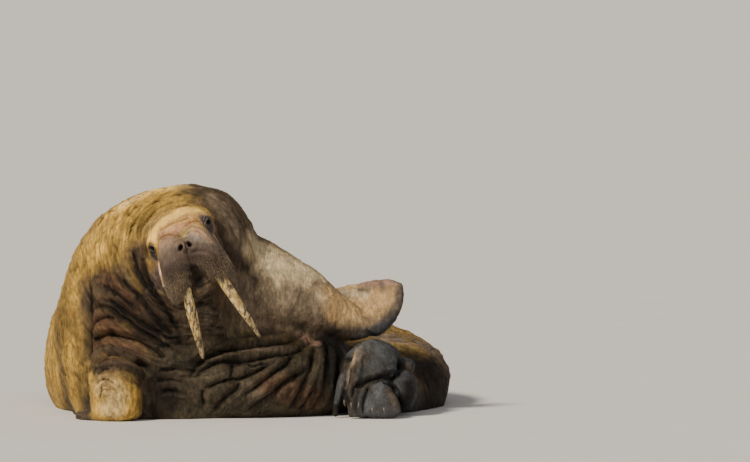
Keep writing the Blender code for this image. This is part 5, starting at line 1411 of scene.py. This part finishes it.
# Nails on the backs of the two hands: a point in the air by each, the way to the skin, the way it points
HAND_NAILS = [
    ((0.478, 0.5, 0.524), (0, -1, 0), (-0.1, 0.1, 1)),
    ((0.538, 0.5, 0.538), (0, -1, 0), (0.0, 0.1, 1)),
    ((0.602, 0.5, 0.546), (0, -1, 0), (0.1, 0.1, 1)),
    ((0.672, 0.5, 0.548), (0, -1, 0), (0.3, 0.1, 1)),
    ((0.738, 0.5, 0.530), (0, -1, 0), (0.8, 0.1, 1)),
    ((-0.600, -0.432, 0.05), (0, 0, -1), (-0.9, 0.1, 0)),
    ((-0.632, -0.388, 0.05), (0, 0, -1), (-0.9, 0.1, 0)),
    ((-0.644, -0.330, 0.05), (0, 0, -1), (-0.9, 0.4, 0)),
    ((-0.626, -0.268, 0.05), (0, 0, -1), (-0.8, 0.6, 0)),
]
NAIL_LENGTH = 0.020
NAIL_WIDTH = 0.0048
NAIL_FLATNESS = 0.55
# Along a nail from the root: share of its length, lift off the skin, share of its width
NAIL_STATIONS = [
    (-0.45, -0.16, 0.8), (0.0, 0.02, 1.0), (0.4, 0.06, 0.9), (0.75, 0.02, 0.6), (1.0, -0.07, 0.25),
]


def nails(skin):
    """Small curved nails, flat below, that grow out of the skin over the tips of the digits."""
    tree = search_tree(skin)
    found = [tree.ray_cast(VIEWPOINT, sight_line(*point))[:2] + (way,) for point, way in TOE_NAILS]
    found += [tree.ray_cast(Vector(start), Vector(look))[:2] + (way,) for start, look, way in HAND_NAILS]
    body = bmesh.new()
    for root, normal, way in found:
        ahead = (Vector(way) - Vector(way).dot(normal) * normal).normalized()
        side = ahead.cross(normal)
        rows = []
        for share, lift, size in NAIL_STATIONS:
            place = root + NAIL_LENGTH * (share * ahead + lift * normal)
            rows.append((*place, NAIL_WIDTH * size, NAIL_WIDTH * size * NAIL_FLATNESS))
        piece = tube("nail", rows, tuple(side), steps=4, power=2.0, round_ends=(0.4, 0.8), count=20)
        body.from_mesh(piece.data)
        bpy.data.objects.remove(piece)
    return finished(from_bmesh("nails", body), nail_finish())


def new_tree(name):
    tree = bpy.data.node_groups.new(name, "GeometryNodeTree")
    tree.interface.new_socket("Geometry", in_out="INPUT", socket_type="NodeSocketGeometry")
    tree.interface.new_socket("Geometry", in_out="OUTPUT", socket_type="NodeSocketGeometry")
    return tree


def bristle_tree(name, material):
    """A bent, tapered bristle on every root, turned and scaled as the root says."""
    tree = new_tree(name)
    for label, value in (("Thickness", 0.0012), ("Bend", 0.18)):
        tree.interface.new_socket(label, in_out="INPUT", socket_type="NodeSocketFloat").default_value = value
    for label, value in (("Rings", 5), ("Sides", 4)):
        tree.interface.new_socket(label, in_out="INPUT", socket_type="NodeSocketInt").default_value = value
    g = Nodes(tree)
    group = tree.nodes.new("NodeGroupInput")
    given = {socket.name: Value(g, socket) for socket in group.outputs if socket.name}
    bend_point = g.node("ShaderNodeCombineXYZ", {}, {"X": 0.0, "Y": 0.0, "Z": 0.55})
    tip = g.node("ShaderNodeCombineXYZ", {}, {"X": given["Bend"], "Y": 0.0, "Z": 1.0})
    spine = g.node("GeometryNodeCurveQuadraticBezier", {},
                   {"Resolution": given["Rings"], "Start": (0, 0, 0), "Middle": bend_point, "End": tip})
    along = g.node("GeometryNodeSplineParameter")
    taper = (1 - along) ** 0.55 * 0.92 + 0.08
    shape = g.node("GeometryNodeCurvePrimitiveCircle", {},
                   {"Resolution": given["Sides"], "Radius": given["Thickness"]})
    bristle = g.node("GeometryNodeCurveToMesh", {},
                     {"Curve": spine, "Profile Curve": shape, "Scale": taper, "Fill Caps": True})
    turn, size = (g.node("GeometryNodeInputNamedAttribute", {"data_type": "FLOAT_VECTOR"}, {"Name": name})
                  for name in ("turn", "size"))
    copies = g.node("GeometryNodeInstanceOnPoints", {},
                    {"Points": given["Geometry"], "Instance": bristle, "Rotation": turn, "Scale": size})
    solid = g.node("GeometryNodeRealizeInstances", {}, {"Geometry": copies})
    dressed = g.node("GeometryNodeSetMaterial", {}, {"Geometry": solid, "Material": material})
    out = tree.nodes.new("NodeGroupOutput")
    g.put(dressed, out.inputs[0])
    return tree


def grown(name, roots, places, tree, inputs):
    """The tree is grown from these roots and made plain mesh; each copy lies at its own place on the map."""
    mesh = bpy.data.meshes.new(name)
    mesh.from_pydata([tuple(p) for p in roots.pop("root")], [], [])
    obj = linked(name, mesh)
    for label, values in roots.items():
        attribute(mesh, label, np.array(values))
    grow = obj.modifiers.new("grow", "NODES")
    grow.node_group = tree
    for socket in tree.interface.items_tree:
        if socket.in_out == "INPUT" and socket.name in inputs:
            grow[socket.identifier] = inputs[socket.name]
    bake_modifiers(obj)
    map_each_copy(obj.data, np.array(places), len(obj.data.vertices) // len(places))
    obj.data.transform(Matrix.Translation(-FOOTPRINT_MIDDLE))
    obj.data.shade_smooth()
    return obj


PATCH = 0.003  # size of one bristle's patch on the map


def map_each_copy(mesh, places, each):
    """A UV map for baking: every bristle is a small patch at its root's place on the unwrapped skin."""
    corners = values_of(mesh.loops, "vertex_index", 1, np.int32)[:, 0]
    whose = corners // each
    within = (corners % each) / each
    uv = places[whose] + PATCH * np.stack([within, (within * 7) % 1], axis=1)
    layer = mesh.uv_layers.new(name="OFBake")
    layer.uv.foreach_set("vector", uv.astype(np.float32).ravel())


def unwrapped(points):
    """Where a root lies, from 0 to 1 each way, when the skin is rolled out round the neck's upright axis."""
    x, y, z = np.asarray(points, float).T
    turn = np.arctan2(x + 0.28, -(y + 0.05)) / (2 * math.pi) + 0.5
    return np.stack([0.01 + 0.97 * turn, 0.01 + 0.9 * np.clip(z / 1.05, 0, 1)], axis=1)


def rotation_of(direction, droop):
    """Euler angles that turn +Z to the direction and +X to the side that the tip bends to."""
    ahead = Vector(direction).normalized()
    side = (Vector(droop) - Vector(droop).dot(ahead) * ahead).normalized()
    other = ahead.cross(side)
    return tuple(Matrix((side, other, ahead)).transposed().to_euler())


WHISKER_ROWS = 34
WHISKERS_IN_ROW = 46
WHISKER_LIFT = (44, -64)  # degrees up from the middle of the pad, of its first and last rows
WHISKER_SWING = (-42, 98)  # degrees out from straight ahead, of the first and last bristles of a row
PAD_MIDDLE = (0.074, -0.080, -0.125)
WHISKER_LENGTH = (0.0055, 0.034)  # of the shortest, and how much longer the longest is


def whiskers(skin):
    """Rows of stiff bristles over both pads: short and flat above, long and free along the lower edge."""
    m = head_matrix()
    turn = m.to_3x3()
    plumb = turn.transposed() @ Vector((0, 0, -1))
    tree = search_tree(skin)
    random = np.random.default_rng(3)
    found = {"root": [], "turn": [], "size": []}
    for side in (-1, 1):
        middle = Vector((side * PAD_MIDDLE[0], *PAD_MIDDLE[1:]))
        for row in range(WHISKER_ROWS):
            low = row / (WHISKER_ROWS - 1)
            lift = math.radians(WHISKER_LIFT[0] + (WHISKER_LIFT[1] - WHISKER_LIFT[0]) * low)
            count = int(WHISKERS_IN_ROW - 10 * abs(low - 0.5) * 2)
            for k in range(count):
                share = (k + 0.5 * (row % 2)) / count
                swing = WHISKER_SWING[0] + (WHISKER_SWING[1] - WHISKER_SWING[0]) * share
                swing = math.radians(swing + random.uniform(-1.5, 1.5))
                out = Vector((side * math.sin(swing) * math.cos(lift), -math.cos(swing) * math.cos(lift),
                              math.sin(lift) + random.uniform(-0.015, 0.015)))
                hit, normal, _, _ = tree.ray_cast(m @ (middle + out * 0.3), turn @ -out)
                if hit is None:
                    continue
                root = m.inverted() @ hit
                if abs(root.x) < 0.018 or (root.z < -0.155 and abs(root.x) < 0.038) or root.z > -0.048:
                    continue
                facing = turn.transposed() @ normal
                lean = facing * (0.26 + 0.24 * low) + Vector((side * (0.22 + 0.16 * low), 0.0, -0.25))
                lean = (lean + plumb * 0.6).normalized()
                length = (WHISKER_LENGTH[0] + WHISKER_LENGTH[1] * low**2) * random.uniform(0.8, 1.2)
                width = 0.6 * length + 0.012
                found["root"].append(hit - (turn @ lean) * 0.003)
                found["turn"].append(rotation_of(turn @ lean, (0, 0.25, -1)))
                found["size"].append((width, width, length))
    return found


COAT_TUFTS = 9000
TUFT_LENGTH = (0.010, 0.022)
TUFT_LEAN = (0.10, 0.26)  # how steeply a tuft stands off the hide
TUFT_SUNK = 0.0012
COAT_SPLIT = 0.50  # distance from the face where the neck's coat gives way to the body's


def beside_trunk(points):
    """The place on the trunk's spine next to each point, how far along it lies, and the way it runs there."""
    spine = catmull(TRUNK, CURVE_STEPS)[:, :2]
    ahead = np.gradient(spine, axis=0)
    ahead /= np.linalg.norm(ahead, axis=1)[:, None]
    nearest = np.linalg.norm(points[:, None, :2] - spine[None], axis=2).argmin(1)
    return spine[nearest], nearest / len(spine), ahead[nearest]


def hair_lie(points):
    """Which way the short coat lies: away from the face and down on the neck, and back along the trunk."""
    away, _, local = round_the_face(points)
    m = np.array(head_matrix())[:3, :3]
    outward = np.stack([local[:, 0], 0 * away, local[:, 2] - HOOD_AXIS], axis=1)
    outward = outward / np.maximum(away, 0.01)[:, None] @ m.T
    _, _, ahead = beside_trunk(points)
    share = step(away, 0.30, 0.75)[:, None]
    on_neck = 0.45 * outward + np.array((0, 0.25, -0.80))
    return (1 - share) * on_neck + share * np.insert(ahead, 2, -0.45, axis=1)


def coat_roots(skin, count, seed, near, far):
    """Roots spread evenly over the hide that lies between two distances from the face, off the flippers."""
    random = np.random.default_rng(seed)
    mesh = skin.data
    corners = triangles_of(mesh)
    points, normals = coordinates(mesh), normals_of(mesh)
    tint = values_of(mesh.attributes["tint"].data, "vector")
    bare = values_of(mesh.attributes["bare"].data, "value", 1)[:, 0]
    a, b, c = (points[corners[:, k]] for k in range(3))
    area = np.linalg.norm(np.cross(b - a, c - a), axis=1)
    middle = (a + b + c) / 3
    away, _, _ = round_the_face(middle)
    area *= (away > near) & (away <= far) & (bare[corners].max(1) < 0.25) & (middle[:, 2] > 0.06)
    chosen = random.choice(len(area), size=count, p=area / area.sum())
    u, v = random.random((2, count))
    u, v = np.where(u + v > 1, 1 - u, u), np.where(u + v > 1, 1 - v, v)
    weights = np.stack([1 - u - v, u, v], axis=1)[:, :, None]
    root = (points[corners[chosen]] * weights).sum(1)
    normal = (normals[corners[chosen]] * weights).sum(1)
    lie = hair_lie(root)
    lie += 0.25 * random.normal(size=lie.shape)
    lie -= normal * (lie * normal).sum(1)[:, None]
    lie /= np.maximum(np.linalg.norm(lie, axis=1), 1e-6)[:, None]
    lean = lie + normal * random.uniform(*TUFT_LEAN, (count, 1))
    length = random.uniform(*TUFT_LENGTH, count)
    return {
        "root": root - normal * TUFT_SUNK,
        "turn": [rotation_of(d, -n) for d, n in zip(lean, normal)],
        "size": np.stack([length * 0.9, length * 0.45, length], axis=1),
        # the hide's colour at the root, painted light and shade included
        "tint": (tint[corners[chosen]] * weights).sum(1),
    }


def rolled_out(points):
    """Where a root lies, from 0 to 1 each way, when the hide is rolled out along the trunk."""
    place, along, ahead = beside_trunk(points)
    away = points[:, :2] - place
    side = ahead[:, 0] * away[:, 1] - ahead[:, 1] * away[:, 0]
    round_it = np.arctan2(side, points[:, 2]) / math.pi
    return np.stack([0.01 + 0.97 * along, 0.01 + 0.97 * (0.5 + 0.5 * round_it)], axis=1)


# Nodes of the frame that the one skin stands for
FLESH = ["head", "muzzle", "lower_jaw", "neck", "chest", "abdomen", "hindquarters", "tail",
         "left_fore_flipper", "right_fore_flipper", "left_hind_flipper", "right_hind_flipper"]
WHISKER_SIZES = {"Thickness": 0.034, "Bend": 0.30, "Rings": 4, "Sides": 4}
TUFT_SIZES = {"Thickness": 0.070, "Bend": 0.12, "Rings": 3, "Sides": 3}

ivory_material = tusk_finish()
eye_material = eye_finish()

skin = walrus_skin()
whisker_roots = whiskers(skin)
neck_roots = coat_roots(skin, COAT_TUFTS, 21, 0.18, COAT_SPLIT)
body_roots = coat_roots(skin, COAT_TUFTS, 22, COAT_SPLIT, math.inf)
claws = nails(skin)
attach(claws, "root")
skin = finished(skin, hide_finish())
skin.name = "walrus_skin"
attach(skin, "root")
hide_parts(*FLESH)

for name, side in (("left_eye", 1), ("right_eye", -1)):
    ball = eye(name + "_ball", side, eye_material)
    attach(ball, "root")
    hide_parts(name)

for name, stations, seed in (("left_tusk", LEFT_TUSK, 1.0), ("right_tusk", RIGHT_TUSK, 5.0)):
    ivory = tusk(name + "_ivory", stations, seed, ivory_material)
    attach(ivory, "root")
    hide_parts(name)

for name, roots, places, material, slot, sizes in (
    ("whisker_bristles", whisker_roots, unwrapped(whisker_roots["root"]), whisker_finish(), "face",
     WHISKER_SIZES),
    ("neck_coat", neck_roots, unwrapped(neck_roots["root"]), coat_finish(), "hide", TUFT_SIZES),
    ("body_coat", body_roots, rolled_out(body_roots["root"]), coat_finish(), "hide", TUFT_SIZES),
):
    hairs = grown(name, roots, places, bristle_tree(name, material), sizes)
    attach(hairs, "root")


def floor_finish():
    f = Finish("pale floor", {"Roughness": 0.85})
    f.set({"Base Color": f.blend(f.noise(f.here(), 3, 3), FLOOR_DARK, FLOOR_PALE)})
    return f.material


FLOOR_RADIUS = 400
SKY_COLOUR, SKY_STRENGTH = (0.82, 0.82, 0.835, 1), 0.33
# Suns: strength, spread in degrees, colour, turn in degrees
SUNS = {
    "key": (5.0, 12, (1.0, 0.92, 0.77), (34, -40, 0)),
    "fill": (0.8, 50, (1.0, 0.97, 0.93), (68, 14, 0)),
}


def stage_and_light():
    bpy.ops.mesh.primitive_circle_add(vertices=96, radius=FLOOR_RADIUS, fill_type="NGON")
    floor = bpy.context.object
    floor.name = "floor"
    floor.data.materials.append(floor_finish())
    floor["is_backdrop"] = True
    world = bpy.data.worlds.new("studio")
    bpy.context.scene.world = world
    world.use_nodes = True
    background = world.node_tree.nodes["Background"]
    background.inputs["Color"].default_value = SKY_COLOUR
    background.inputs["Strength"].default_value = SKY_STRENGTH
    for name, (power, spread, colour, turn) in SUNS.items():
        light = bpy.data.lights.new(name, "SUN")
        light.energy = power
        light.angle = math.radians(spread)
        light.color = colour
        linked(name, light).rotation_euler = [math.radians(a) for a in turn]


def photograph_camera():
    lens = bpy.data.cameras.new("camera")
    lens.lens = LENS_LENGTH
    lens.sensor_width = SENSOR_WIDTH
    lens.clip_end = 600
    camera = linked("camera", lens)
    camera.location = VIEWPOINT - FOOTPRINT_MIDDLE
    camera.rotation_euler = (math.radians(90) - VIEW_TILT, 0, 0)
    bpy.context.scene.camera = camera


stage_and_light()
photograph_camera()

sizes = {"cad": [list(corner) for corner in cad_box], "visual": [list(corner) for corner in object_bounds()]}
